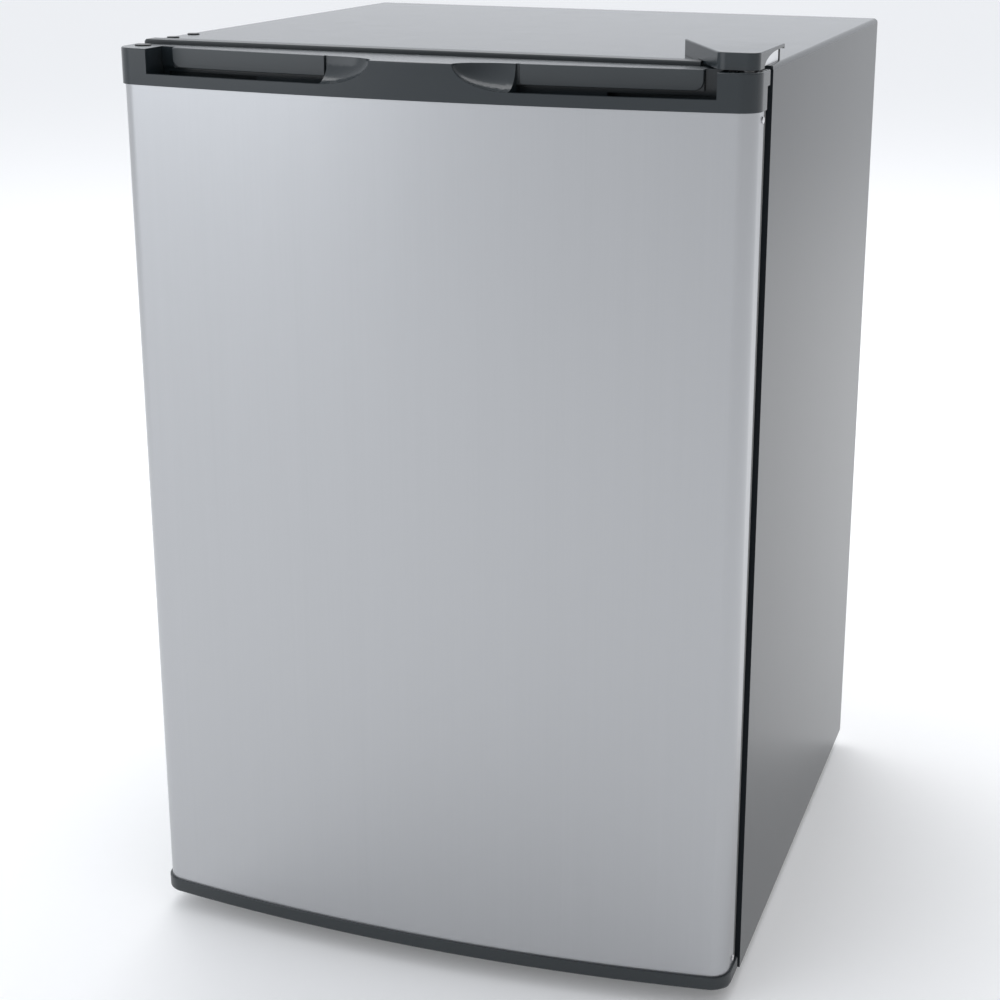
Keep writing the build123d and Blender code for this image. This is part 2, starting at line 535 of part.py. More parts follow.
# ================================================================ shelves and crisper
GLASS_HALF = CABIN_HALF - 2.0
COVER_LEVEL = STEP_TOP + 2
for name, level, rear in (("lower_shelf_glass", SHELF_LEVELS[0], SHELF_REAR),
                          ("upper_shelf_glass", SHELF_LEVELS[1], SHELF_REAR),
                          ("crisper_cover_glass", COVER_LEVEL, 186.0)):
    with BuildPart() as shelf_glass:
        block((-GLASS_HALF, SHELF_FRONT, level), (GLASS_HALF, rear, level + GLASS))
        fillet(shelf_glass.edges().filter_by(Axis.Z), 4)
    save(shelf_glass.part, name)

RAIL_OVERLAP, RAIL_WALL = 9.0, 2.0
with BuildPart() as shelf_trims:
    for level in (*SHELF_LEVELS, COVER_LEVEL):
        front_low = (-GLASS_HALF, SHELF_FRONT - RAIL_WALL, level)
        block(front_low, (GLASS_HALF, SHELF_FRONT, level + GLASS + RAIL_WALL))
        block((-GLASS_HALF, SHELF_FRONT - RAIL_WALL, level + GLASS),
              (GLASS_HALF, SHELF_FRONT + RAIL_OVERLAP, level + GLASS + RAIL_WALL))
        block((-GLASS_HALF + 6, SHELF_FRONT - RAIL_WALL, level - 8),
              (GLASS_HALF - 6, SHELF_FRONT, level))
    for level in SHELF_LEVELS:
        block((-GLASS_HALF, SHELF_REAR, level), (GLASS_HALF, SHELF_REAR + 2, level + 14))
save(shelf_trims.part, "shelf_trims")

DRAWER_HALF, DRAWER_FRONT, DRAWER_REAR = 200.0, FRONT + 104.0, STEP_FRONT - 8
DRAWER_LOW, DRAWER_HIGH, DRAWER_WALL = CABIN_FLOOR + 0.4, 236.0, 2.5
with BuildPart() as crisper_drawer:
    block((-DRAWER_HALF, DRAWER_FRONT, DRAWER_LOW), (DRAWER_HALF, DRAWER_REAR, DRAWER_HIGH))
    fillet(crisper_drawer.edges().filter_by(Axis.Z), 10)
    offset(amount=-DRAWER_WALL, openings=crisper_drawer.faces().sort_by(Axis.Z)[-1])
    # finger lip along the top of the front
    with BuildSketch(Plane.YZ.offset(-90)):
        with BuildLine():
            Polyline((DRAWER_FRONT + 0.5, DRAWER_HIGH), (DRAWER_FRONT - 5, DRAWER_HIGH - 2),
                     (DRAWER_FRONT - 5, DRAWER_HIGH - 16), (DRAWER_FRONT - 3, DRAWER_HIGH - 16),
                     (DRAWER_FRONT + 0.5, DRAWER_HIGH - 5), close=True)
        make_face()
    extrude(amount=180)
save(crisper_drawer.part, "crisper_drawer")

# ================================================================ hinges
with BuildPart() as upper_hinge:
    block((224, FRONT + 9, TOP), (255, FRONT + 39, TOP + 3))
    block((240, HINGE_Y, TOP), (254, FRONT + 9, TOP + 3))
    # upturned flange behind the arch in the cover's right flank
    block((253.2, FRONT - 16, TOP), (255, FRONT + 39, TOP + 9.6))
    rod((HINGE_X, HINGE_Y, TOP), 7, 3)
    rod((HINGE_X, HINGE_Y, CAP_LOW + 5), PIN_RADIUS, TOP + 1 - CAP_LOW - 5)
    for seat in HINGE_SEATS:
        rod((*seat, TOP - 1), SCREW_RADIUS + CLEAR, 6, mode=Mode.SUBTRACT)
save(upper_hinge.part, "upper_hinge")

COVER_TOP = TOP + 12.5
COVER_WALL = 1.8
COVER_LOW = CAP_HIGH + 1.5
NOSE_Y = FRONT - 43
ARCH_SPRING, ARCH_RISE = FRONT + 22, 9.9
COVER_REAR = FRONT + 43  # rear end of the right flank


def cover_plan(inset):
    """Sketch the hinge cover's plan, shrunk by inset."""
    with BuildSketch(Plane.XY.offset(COVER_LOW)) as plan:
        with BuildLine():
            Polyline((HALF - 82, FRONT + 54), (HALF - 31, NOSE_Y), (HALF - 2, NOSE_Y),
                     (HALF - 1, COVER_REAR), close=True)
        make_face()
        fillet(plan.vertices().group_by(Axis.Y)[0], 9)
        fillet(plan.vertices().sort_by(Axis.X)[0], 2.0)
        if inset:
            offset(amount=-inset, kind=Kind.INTERSECTION)
    return plan.sketch


with BuildPart() as hinge_cover:
    extrude(cover_plan(0), amount=COVER_TOP - COVER_LOW)
    fillet(hinge_cover.faces().sort_by(Axis.Z)[-1].edges(), 1.0)
    extrude(cover_plan(COVER_WALL), amount=COVER_TOP - COVER_LOW - COVER_WALL, mode=Mode.SUBTRACT)
    # the skirt ends on the cabinet's top, and steps up over the trim strip
    block((100, FRONT - 7, COVER_LOW - 1), (HALF + 5, FRONT + 80, TOP + 0.1), mode=Mode.SUBTRACT)
    block((100, FRONT - 7, TOP - 1), (TRIM_STRIP_RIGHT + 1.5, FRONT + 11.5, TOP + STRIP_LIP + 0.3),
          mode=Mode.SUBTRACT)
    # long arch in the right flank
    with BuildSketch(Plane.YZ.offset(HALF - 4.5)):
        with Locations((ARCH_SPRING, TOP)):
            Ellipse(ARCH_SPRING - NOSE_Y - 20, ARCH_RISE)
        with Locations((ARCH_SPRING, TOP - 1)):
            Rectangle(COVER_REAR - 3.5 - ARCH_SPRING, ARCH_RISE + 1, align=(Align.MIN, Align.MIN))
    extrude(amount=6, mode=Mode.SUBTRACT)
save(hinge_cover.part, "hinge_cover")

LOWER_PLATE_LOW = BASE + SHEET - 3
with BuildPart() as lower_hinge:
    block((218, FRONT - 1, LOWER_PLATE_LOW), (246, FRONT + 64, BASE + SHEET))
    block((232, HINGE_Y, LOWER_PLATE_LOW), (257, FRONT - 0.5, BASE + SHEET))
    rod((HINGE_X, HINGE_Y, LOWER_PLATE_LOW), 10, 3)
    rod((HINGE_X, HINGE_Y, LOWER_PLATE_LOW + 1), PIN_RADIUS, TRIM_HIGH + 4 - LOWER_PLATE_LOW)
    for screw_x, screw_y in LOWER_SCREWS:
        rod((screw_x, screw_y, LOWER_PLATE_LOW - 1), SCREW_RADIUS + CLEAR, 6, mode=Mode.SUBTRACT)
save(lower_hinge.part, "lower_hinge")

HEAD_RADIUS, HEAD_HEIGHT, SLOT_DEPTH = 4.5, 3.0, 1.6
hinge_screw_seats = [(*seat, TOP + 3, -1, 14) for seat in HINGE_SEATS]
hinge_screw_seats += [(x, y, LOWER_PLATE_LOW, 1, 4) for x, y in LOWER_SCREWS]
with BuildPart() as hinge_screws:
    for seat_x, seat_y, seat_z, inward, length in hinge_screw_seats:
        rod((seat_x, seat_y, seat_z), SCREW_RADIUS, length, (0, 0, inward))
        rod((seat_x, seat_y, seat_z), HEAD_RADIUS, HEAD_HEIGHT, (0, 0, -inward))
        with Locations((seat_x, seat_y, seat_z - inward * (HEAD_HEIGHT - SLOT_DEPTH / 2))):
            Box(6, 1.1, SLOT_DEPTH, mode=Mode.SUBTRACT)
            Box(1.1, 6, SLOT_DEPTH, mode=Mode.SUBTRACT)
save(hinge_screws.part, "hinge_screws")

with BuildPart() as cabinet_plugs:
    for hole_y in PLUG_YS:
        rod((PLUG_X, hole_y, TOP - 6), PLUG_RADIUS - CLEAR, 6)
        rod((PLUG_X, hole_y, TOP), PLUG_RADIUS + 0.8, 0.8)
save(cabinet_plugs.part, "cabinet_plugs")

# ================================================================ feet and cord gland
FOOT_RADIUS = 17.0
with BuildPart() as rear_feet:
    for foot_side in (-1, 1):
        rod((foot_side * REAR_FOOT_X, REAR_FOOT_Y, 0), REAR_FOOT_RADIUS, PLATE_LOW)
        rod((foot_side * REAR_FOOT_X, REAR_FOOT_Y, PLATE_LOW - 1), 4, 6)
    fillet(rear_feet.faces().group_by(Axis.Z)[0].edges(), 2)
save(rear_feet.part, "rear_feet")

for foot_side, name in ((-1, "front_foot_left"), (1, "front_foot_right")):
    with BuildPart() as front_foot:
        foot_x = foot_side * FOOT_X
        with BuildSketch():
            with Locations((foot_x, FOOT_Y)):
                Circle(FOOT_RADIUS)
                with PolarLocations(FOOT_RADIUS + 1.2, 16):
                    Circle(2, mode=Mode.SUBTRACT)
        extrude(amount=8)
        rod((foot_x, FOOT_Y, 7), PIN_RADIUS, 25)
    save(front_foot.part, name)

with BuildPart() as cord_gland:
    rod((GLAND_X, RAIL_BACK - 2, GLAND_Z), GLAND_RADIUS - CLEAR, 2, (0, 1, 0))
    rod((GLAND_X, RAIL_BACK, GLAND_Z), GLAND_RADIUS + 2, 3, (0, 1, 0))
    rod((GLAND_X, RAIL_BACK - 5, GLAND_Z), GLAND_RADIUS + 2, 3, (0, 1, 0))
    rod((GLAND_X, RAIL_BACK + 3, GLAND_Z), GLAND_RADIUS - 1, 8, (0, 1, 0))
    rod((GLAND_X, RAIL_BACK - 6, GLAND_Z), 3.5, 20, (0, 1, 0), mode=Mode.SUBTRACT)
save(cord_gland.part, "cord_gland")

# ================================================================ door
SKIN_INSET = 2.0
CORE_LOW, CORE_HIGH = TRIM_HIGH, CAP_LOW
BUSH_RADIUS = 5.8

with BuildPart() as door_skin:
    extrude(door_plan(CORE_LOW, SKIN_INSET, FRAME_FRONT), amount=CORE_HIGH - CORE_LOW)
    extrude(door_plan(CORE_LOW, SKIN_INSET + SHEET, FRAME_FRONT), amount=CORE_HIGH - CORE_LOW,
            mode=Mode.SUBTRACT)
save(door_skin.part, "door_skin")

with BuildPart() as door_foam:
    extrude(door_plan(CORE_LOW, SKIN_INSET + SHEET, FRAME_FRONT), amount=CORE_HIGH - CORE_LOW)
    rod((HINGE_X, HINGE_Y, CORE_LOW - 1), BUSH_RADIUS, 8, mode=Mode.SUBTRACT)
save(door_foam.part, "door_foam")

with BuildPart() as door_bottom_trim:
    extrude(door_plan(TRIM_LOW, 0, DOOR_BACK), amount=TRIM_HIGH - TRIM_LOW)
    lower_rim = door_bottom_trim.faces().sort_by(Axis.Z)[0].edges()
    fillet(lower_rim, 2.5)
    rod((HINGE_X, HINGE_Y, TRIM_LOW - 1), BUSH_RADIUS, 20, mode=Mode.SUBTRACT)
save(door_bottom_trim.part, "door_bottom_trim")

HOLLOW_FRONT, HOLLOW_BACK = DOOR_BACK - 22, FRAME_FRONT - 2
with BuildPart() as door_top_cap:
    extrude(door_plan(CAP_LOW, 0, DOOR_BACK), amount=CAP_HIGH - CAP_LOW)
    crown_rim = door_top_cap.faces().sort_by(Axis.Z)[-1].edges()
    fillet(crown_rim, 1.2)
    # rebate for the rear frame, and a hollow underside behind the pockets
    block((-HALF - 1, FRAME_FRONT, CAP_LOW - 1), (HALF + 1, DOOR_BACK + 1, FRAME_TOP),
          mode=Mode.SUBTRACT)
    block((-225, HOLLOW_FRONT, CAP_LOW - 1), (225, HOLLOW_BACK, LIP_TOP), mode=Mode.SUBTRACT)
    for side in (-1, 1):
        inner, outer = sorted((side * POCKET_INNER, side * POCKET_OUTER))
        # open slot above the lip, as deep as the back plate
        extrude(bow_band(LIP_TOP, inner, outer, -5, PLATE_SETBACK + PLATE_THICK),
                amount=DISH_RADIUS + 1, mode=Mode.SUBTRACT)
        # finger trough behind the lip and under the back plate
        extrude(bow_band(LIP_TOP - 5, inner, outer, 4.5, PLATE_SETBACK + 9), amount=9, mode=Mode.SUBTRACT)
        gap_ends = sorted((side * (POCKET_OUTER - 14), side * POCKET_OUTER))
        extrude(bow_band(LIP_TOP - 5, *gap_ends, 4.5, PLATE_SETBACK + 7), amount=40, mode=Mode.SUBTRACT)
        # shallow dish that runs the slot out to the face
        dish_origin = (side * POCKET_INNER, bow_y(POCKET_INNER) - 0.5, CAP_HIGH)
        with BuildSketch(Plane(origin=dish_origin, x_dir=(1, 0, 0), z_dir=(0, 0, 1))) as bowl:
            Ellipse(DISH_REACH, DISH_RADIUS)
            Rectangle(2 * DISH_REACH + 2, DISH_RADIUS + 2, align=(Align.CENTER, Align.MAX),
                      mode=Mode.SUBTRACT)
        revolve(axis=Axis(dish_origin, (1, 0, 0)), mode=Mode.SUBTRACT)
    for side in (-1, 1):
        rod((side * HINGE_X, HINGE_Y, CAP_LOW + 3), BUSH_RADIUS, 40, mode=Mode.SUBTRACT)
save(door_top_cap.part, "door_top_cap")

PLATE_LOW_EDGE = LIP_TOP + 4
PLATE_END = POCKET_OUTER - 14
for side, name in ((-1, "left_handle_plate"), (1, "right_handle_plate")):
    with BuildPart() as handle_plate:
        inner, outer = sorted((side * (POCKET_INNER + 3), side * PLATE_END))
        extrude(bow_band(PLATE_LOW_EDGE, inner, outer, PLATE_SETBACK, PLATE_SETBACK + PLATE_THICK),
                amount=CAP_HIGH - PLATE_LOW_EDGE)
        ends = handle_plate.edges().filter_by(Axis.Y, tolerance=20).group_by(Axis.Z)[0]
        fillet(ends.sort_by(Axis.X)[-1 if side > 0 else 0], 7)
    save(handle_plate.part, name)

FRAME_HALF = HALF - SKIN_INSET
PANEL_HALF, PANEL_LOW, PANEL_HIGH = 224.0, 53.0, 731.0
with BuildPart() as door_frame:
    block((-FRAME_HALF, FRAME_FRONT, CORE_LOW), (FRAME_HALF, DOOR_BACK, FRAME_TOP))
    fillet(door_frame.edges().filter_by(Axis.Z).group_by(Axis.Y)[-1], 3)
    block((-PANEL_HALF, FRAME_FRONT - 1, PANEL_LOW), (PANEL_HALF, DOOR_BACK + 1, PANEL_HIGH),
          mode=Mode.SUBTRACT)
save(door_frame.part, "door_frame")

DYKE_HALF, DYKE_LOW, DYKE_HIGH, DYKE_REAR = 204.0, 76.0, 702.0, FRONT + 18.0
DYKE_WIDE = 18.0
with BuildPart() as door_liner:
    block((-PANEL_HALF, FRAME_FRONT, PANEL_LOW), (PANEL_HALF, DOOR_BACK, PANEL_HIGH))
    block((-DYKE_HALF, DOOR_BACK, DYKE_LOW), (DYKE_HALF, DYKE_REAR, DYKE_HIGH))
    fillet(door_liner.edges().filter_by(Axis.Y).filter_by(
        lambda e: e.center().Y > DOOR_BACK), 14)
    fillet(door_liner.faces().sort_by(Axis.Y)[-1].edges(), 5)
    block((-DYKE_HALF + DYKE_WIDE, DOOR_BACK, DYKE_LOW + DYKE_WIDE),
          (DYKE_HALF - DYKE_WIDE, DYKE_REAR + 1, DYKE_HIGH - DYKE_WIDE), mode=Mode.SUBTRACT)
save(door_liner.part, "door_liner")

SEAL_OUT, SEAL_WIDE = 246.0, 18.0
SEAL_LOW, SEAL_HIGH = 34.0, 752.0
SEAL_THICK = DOOR_GAP - 0.5
with BuildPart() as door_gasket:
    with BuildSketch(Plane.XZ.offset(-DOOR_BACK)):
        with Locations((0, (SEAL_LOW + SEAL_HIGH) / 2)):
            Rectangle(2 * SEAL_OUT, SEAL_HIGH - SEAL_LOW)
            Rectangle(2 * (SEAL_OUT - SEAL_WIDE), SEAL_HIGH - SEAL_LOW - 2 * SEAL_WIDE,
                      mode=Mode.SUBTRACT)
    extrude(amount=-SEAL_THICK)
    # bellows: a groove all round between the magnet bulb and the foot of the seal
    with BuildSketch(Plane.XZ.offset(-DOOR_BACK - 3)):
        with Locations((0, (SEAL_LOW + SEAL_HIGH) / 2)):
            Rectangle(2 * SEAL_OUT, SEAL_HIGH - SEAL_LOW)
            Rectangle(2 * SEAL_OUT - 8, SEAL_HIGH - SEAL_LOW - 8, mode=Mode.SUBTRACT)
            Rectangle(2 * (SEAL_OUT - SEAL_WIDE) + 8, SEAL_HIGH - SEAL_LOW - 2 * SEAL_WIDE + 8)
            Rectangle(2 * (SEAL_OUT - SEAL_WIDE), SEAL_HIGH - SEAL_LOW - 2 * SEAL_WIDE,
                      mode=Mode.SUBTRACT)
    extrude(amount=-2, mode=Mode.SUBTRACT)
save(door_gasket.part, "door_gasket")

BIN_WALL = 2.5
BIN_HALF = DYKE_HALF - DYKE_WIDE - 1
BIN_FRONT = DOOR_BACK + 0.5

with BuildPart() as bottle_bin:
    block((-BIN_HALF, BIN_FRONT, 96), (BIN_HALF, FRONT + 94, 176))
    fillet(bottle_bin.edges().filter_by(Axis.Z).group_by(Axis.Y)[-1], 12)
    offset(amount=-BIN_WALL, openings=bottle_bin.faces().sort_by(Axis.Z)[-1])
save(bottle_bin.part, "bottle_bin")

RACK_RIGHT = -BIN_HALF + 78
SMALL_BIN_LEFT = RACK_RIGHT + 10
for name, level in (("lower_door_bin", 330.0), ("upper_door_bin", 520.0)):
    with BuildPart() as door_bin:
        block((SMALL_BIN_LEFT, BIN_FRONT, level), (BIN_HALF, FRONT + 78, level + 62))
        fillet(door_bin.edges().filter_by(Axis.Z).group_by(Axis.Y)[-1], 12)
        offset(amount=-BIN_WALL, openings=door_bin.faces().sort_by(Axis.Z)[-1])
    save(door_bin.part, name)

RACK_LOW, RACK_HIGH, RACK_REAR = 262.0, 676.0, FRONT + 68.0
RACK_WINDOW = 34.0
with BuildPart() as can_rack:
    block((-BIN_HALF, BIN_FRONT, RACK_LOW), (RACK_RIGHT, RACK_REAR, RACK_HIGH))
    fillet(can_rack.edges().filter_by(Axis.Z).group_by(Axis.Y)[-1], 8)
    offset(amount=-BIN_WALL, openings=can_rack.faces().sort_by(Axis.Z)[-1])
    # window along the front of the rack, and an opening at its foot to take a can out
    rack_middle = (RACK_RIGHT - BIN_HALF) / 2
    block((rack_middle - RACK_WINDOW / 2, RACK_REAR - 10, RACK_LOW + 100),
          (rack_middle + RACK_WINDOW / 2, RACK_REAR + 1, RACK_HIGH + 1), mode=Mode.SUBTRACT)
    block((-BIN_HALF + 6, RACK_REAR - 30, RACK_LOW + 16),
          (RACK_RIGHT - 6, RACK_REAR + 1, RACK_LOW + 88), mode=Mode.SUBTRACT)
save(can_rack.part, "can_rack")

with BuildPart() as hinge_bushes:
    rod((HINGE_X, HINGE_Y, CAP_LOW + 3), BUSH_RADIUS, CAP_HIGH - CAP_LOW - 3)
    rod((HINGE_X, HINGE_Y, TRIM_LOW), BUSH_RADIUS, TRIM_HIGH + 6 - TRIM_LOW)
    rod((HINGE_X, HINGE_Y, BASE + SHEET + 0.4), 9, TRIM_LOW - BASE - SHEET - 0.4)
    rod((HINGE_X, HINGE_Y, 0), PIN_RADIUS + FIT, CAP_HIGH + 10, mode=Mode.SUBTRACT)
save(hinge_bushes.part, "hinge_bushes")

with BuildPart() as door_cap_plug:
    rod((-HINGE_X, HINGE_Y, CAP_HIGH - 8), BUSH_RADIUS - CLEAR, 8)
    rod((-HINGE_X, HINGE_Y, CAP_HIGH), BUSH_RADIUS + 0.8, 0.8)
save(door_cap_plug.part, "door_cap_plug")

SKIN_SCREW_INSET = 7.0
with BuildPart() as skin_screws:
    for side in (-1, 1):
        for screw_z in (CORE_LOW + SKIN_SCREW_INSET, CORE_HIGH - SKIN_SCREW_INSET):
            rod((side * (HALF - SKIN_INSET), FRAME_FRONT - 5, screw_z), 2.6, 1.2, (side, 0, 0))
    fillet(skin_screws.faces().filter_by(Axis.X).group_by(Axis.X)[0].edges(), 0.5)
    fillet(skin_screws.faces().filter_by(Axis.X).group_by(Axis.X)[-1].edges(), 0.5)
save(skin_screws.part, "skin_screws")
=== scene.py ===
"""Looks of a compact refrigerator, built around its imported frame."""

import json
import logging
from collections.abc import Mapping, Sequence
from dataclasses import dataclass
from enum import Enum
from math import asin, cos, pi, radians, sin, sqrt
from typing import Any, ClassVar

import bmesh
import bpy
from mathutils import Matrix, Vector

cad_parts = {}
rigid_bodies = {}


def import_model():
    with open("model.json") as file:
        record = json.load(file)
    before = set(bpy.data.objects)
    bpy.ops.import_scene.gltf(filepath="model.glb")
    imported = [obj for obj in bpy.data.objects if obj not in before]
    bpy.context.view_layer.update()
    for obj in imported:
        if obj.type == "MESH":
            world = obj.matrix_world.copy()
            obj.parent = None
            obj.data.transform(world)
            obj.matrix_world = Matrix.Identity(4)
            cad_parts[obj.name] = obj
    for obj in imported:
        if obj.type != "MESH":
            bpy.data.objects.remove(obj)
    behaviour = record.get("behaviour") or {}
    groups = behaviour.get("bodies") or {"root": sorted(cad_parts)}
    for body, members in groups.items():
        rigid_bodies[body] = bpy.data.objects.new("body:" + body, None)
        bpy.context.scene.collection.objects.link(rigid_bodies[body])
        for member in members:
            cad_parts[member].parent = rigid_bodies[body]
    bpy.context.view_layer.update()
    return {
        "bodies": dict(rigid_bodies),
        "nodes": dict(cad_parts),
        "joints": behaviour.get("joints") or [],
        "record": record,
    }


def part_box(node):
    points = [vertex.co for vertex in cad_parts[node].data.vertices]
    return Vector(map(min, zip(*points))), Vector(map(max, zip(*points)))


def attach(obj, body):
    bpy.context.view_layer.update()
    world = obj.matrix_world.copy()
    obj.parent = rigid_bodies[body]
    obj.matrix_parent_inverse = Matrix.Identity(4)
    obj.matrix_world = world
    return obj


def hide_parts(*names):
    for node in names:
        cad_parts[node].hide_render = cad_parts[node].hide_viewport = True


LOG = logging.getLogger("refrigerator")
Colour = tuple[float, float, float]
Point = tuple[float, float, float]
MERGE_DISTANCE = 1e-6
FLAT_ANGLE = radians(0.4)
SHARP_ANGLE = radians(38.0)
NOISE_ROUGHNESS = 0.55


class Value:
    """A node's output, on which Python's operators add Math nodes."""

    def __init__(self, graph: "Graph", socket: bpy.types.NodeSocket) -> None:
        """Keep the graph and the socket that the value comes from."""
        self.graph = graph
        self.socket = socket

    def _math(self, operation: str, first: Any, second: Any) -> "Value":
        """Add one Math node.

        Args:
            operation: The Math node's operation.
            first: Its first value or link.
            second: Its second value or link.

        Returns:
            The node's output.
        """
        return self.graph.node("ShaderNodeMath", {"operation": operation}, {0: first, 1: second})

    def __add__(self, other: Any) -> "Value":
        """Return self + other."""
        return self._math("ADD", self, other)

    def __radd__(self, other: Any) -> "Value":
        """Return other + self."""
        return self._math("ADD", other, self)

    def __sub__(self, other: Any) -> "Value":
        """Return self - other."""
        return self._math("SUBTRACT", self, other)

    def __rsub__(self, other: Any) -> "Value":
        """Return other - self."""
        return self._math("SUBTRACT", other, self)

    def __mul__(self, other: Any) -> "Value":
        """Return self * other."""
        return self._math("MULTIPLY", self, other)

    def __rmul__(self, other: Any) -> "Value":
        """Return other * self."""
        return self._math("MULTIPLY", other, self)

    def swing(self, amount: float) -> "Value":
        """Return a value from 0 to 1 as a swing of an amount, half of it below nought."""
        return (self - 0.5) * amount


class Graph:
    """A shader graph that ends in one shader."""

    def __init__(self, owner: bpy.types.ID, shader: str, output: str) -> None:
        """Clear the owner's nodes and start again.

        Args:
            owner: The material or world.
            shader: The type of its last shader.
            output: The type of its output node.
        """
        owner.use_nodes = True
        self.tree = owner.node_tree
        self.tree.nodes.clear()
        self.shader = self.tree.nodes.new(shader)
        end = self.tree.nodes.new(output)
        self.tree.links.new(self.shader.outputs[0], end.inputs["Surface"])

    def _plug(self, socket: bpy.types.NodeSocket, value: Any) -> None:
        """Link a Value to a socket, or set the socket's own value.

        Args:
            socket: The socket to fill.
            value: The Value to link, or a plain number, vector or colour.
        """
        if isinstance(value, Value):
            self.tree.links.new(value.socket, socket)
        elif isinstance(value, tuple) and socket.type == "RGBA":
            socket.default_value = (*value[:3], 1.0)
        else:
            socket.default_value = value

    def node(
        self,
        kind: str,
        settings: Mapping[str, Any] | None = None,
        inputs: Mapping[str | int, Any] | None = None,
        output: str | int = 0,
    ) -> Value:
        """Add any node.

        Args:
            kind: The node's type.
            settings: Its own settings, set first; "stops" fills a colour ramp.
            inputs: Values or links for its sockets.
            output: The socket to return.

        Returns:
            The chosen output.
        """
        made = self.tree.nodes.new(kind)
        for key, setting in (settings or {}).items():
            if key == "stops":
                ramp = made.color_ramp
                while len(ramp.elements) < len(setting):
                    ramp.elements.new(0.5)
                for element, (position, colour) in zip(ramp.elements, setting):
                    element.position = position
                    element.color = (*colour, 1.0)
            else:
                setattr(made, key, setting)
        for key, value in (inputs or {}).items():
            self._plug(made.inputs[key], value)
        return Value(self, made.outputs[output])

    def place(self, scale: Point = (1.0, 1.0, 1.0)) -> Value:
        """Return the piece's own coordinates in metres, stretched by a scale."""
        coordinates = self.node("ShaderNodeTexCoord", output="Object")
        return self.node("ShaderNodeMapping", inputs={"Vector": coordinates, "Scale": scale})

    def noise(self, scale: float, detail: float, stretch: Point = (1.0, 1.0, 1.0)) -> Value:
        """Return noise from 0 to 1.

        Args:
            scale: Cells per metre.
            detail: Octaves of finer noise.
            stretch: Factors on each axis, under 1 for streaks along it.

        Returns:
            The noise's strength.
        """
        inputs = {
            "Vector": self.place(stretch),
            "Scale": scale,
            "Detail": detail,
            "Roughness": NOISE_ROUGHNESS,
        }
        return self.node("ShaderNodeTexNoise", {"normalize": True}, inputs, "Fac")

    def cells(self, scale: float) -> Value:
        """Return one random grey for each Voronoi cell.

        Args:
            scale: Cells per metre.

        Returns:
            The cell's grey, from 0 to 1.
        """
        inputs = {"Vector": self.place(), "Scale": scale}
        colour = self.node("ShaderNodeTexVoronoi", {"feature": "F1"}, inputs, "Color")
        return self.node("ShaderNodeRGBToBW", inputs={"Color": colour})

    def blend(
        self,
        factor: Value,
        low: Colour,
        high: Colour,
        start: float = 0.0,
        end: float = 1.0,
    ) -> Value:
        """Return a colour between two.

        Args:
            factor: What chooses between them.
            low: The colour where the factor is at or under start.
            high: The colour where the factor is at or over end.
            start: The factor at which the change begins.
            end: The factor at which the change is complete.

        Returns:
            The blended colour.
        """
        settings = {"stops": ((start, low), (end, high))}
        return self.node("ShaderNodeValToRGB", settings, {"Fac": factor}, "Color")

    def bump(self, height: Value, distance: float, strength: float) -> Value:
        """Return a normal that is bumped by a height from 0 to 1 over a distance in metres."""
        inputs = {"Height": height, "Distance": distance, "Strength": strength}
        return self.node("ShaderNodeBump", inputs=inputs, output="Normal")

    def dress(self, **sockets: Any) -> None:
        """Set the shader's sockets.

        Args:
            sockets: A value or link for each; base_color stands for "Base Color", and so on.
        """
        inputs = {socket.name.lower().replace(" ", "_"): socket for socket in self.shader.inputs}
        for key, value in sockets.items():
            self._plug(inputs[key], value)


def surface(name: str) -> tuple[bpy.types.Material, Graph]:
    """Return a new material and its graph, which holds a Principled shader."""
    material = bpy.data.materials.new(name)
    return material, Graph(material, "ShaderNodeBsdfPrincipled", "ShaderNodeOutputMaterial")


def spread(colour: Colour, amount: float) -> tuple[Colour, Colour]:
    """Return a colour darkened and lightened by a share of itself.

    Args:
        colour: The colour in the middle.
        amount: The share, from 0 to 1.

    Returns:
        The darker colour and the lighter one.
    """
    dark = tuple(channel * (1.0 - amount) for channel in colour)
    light = tuple(min(channel * (1.0 + amount), 1.0) for channel in colour)
    return dark, light


@dataclass(frozen=True)
class Finish:
    """A surface finish that is made into a material once."""

    name: str
    colour: Colour
    roughness: float
    made: ClassVar[dict[str, bpy.types.Material]] = {}

    def wire(self, graph: Graph) -> None:
        """Wire the finish's own nodes."""
        raise NotImplementedError

    def material(self) -> bpy.types.Material:
        """Make the finish's material on first use.

        Returns:
            The one material of that finish.
        """
        if self.name not in self.made:
            self.made[self.name], graph = surface(self.name)
            self.wire(graph)
        return self.made[self.name]


@dataclass(frozen=True)
class BrushedSteel(Finish):
    """Stainless sheet, brushed along the piece's height."""

    grain: float = 900.0
    band: float = 100.0
    along: float = 0.006
    cloud: float = 3.0
    streak_share: float = 0.5
    band_share: float = 0.25
    cloud_share: float = 0.25
    contrast: float = 0.045
    streak_gloss: float = 0.10
    cloud_gloss: float = 0.05
    depth: float = 0.00003
    relief: float = 0.5

    def wire(self, graph: Graph) -> None:
        """Mix fine streaks with wider bands and broad, faint clouding from the rolling.

        Args:
            graph: The graph of the material being made.
        """
        lengthwise = (1.0, 1.0, self.along)
        streaks = graph.noise(self.grain, detail=2.0, stretch=lengthwise)
        bands = graph.noise(self.band, detail=2.0, stretch=lengthwise)
        clouds = graph.noise(self.cloud, detail=4.0)
        tone = streaks * self.streak_share + bands * self.band_share + clouds * self.cloud_share
        gloss = streaks.swing(self.streak_gloss) + clouds.swing(self.cloud_gloss)
        graph.dress(
            base_color=graph.blend(tone, *spread(self.colour, self.contrast)),
            metallic=1.0,
            roughness=gloss + self.roughness,
            normal=graph.bump(streaks, self.depth, self.relief),
        )


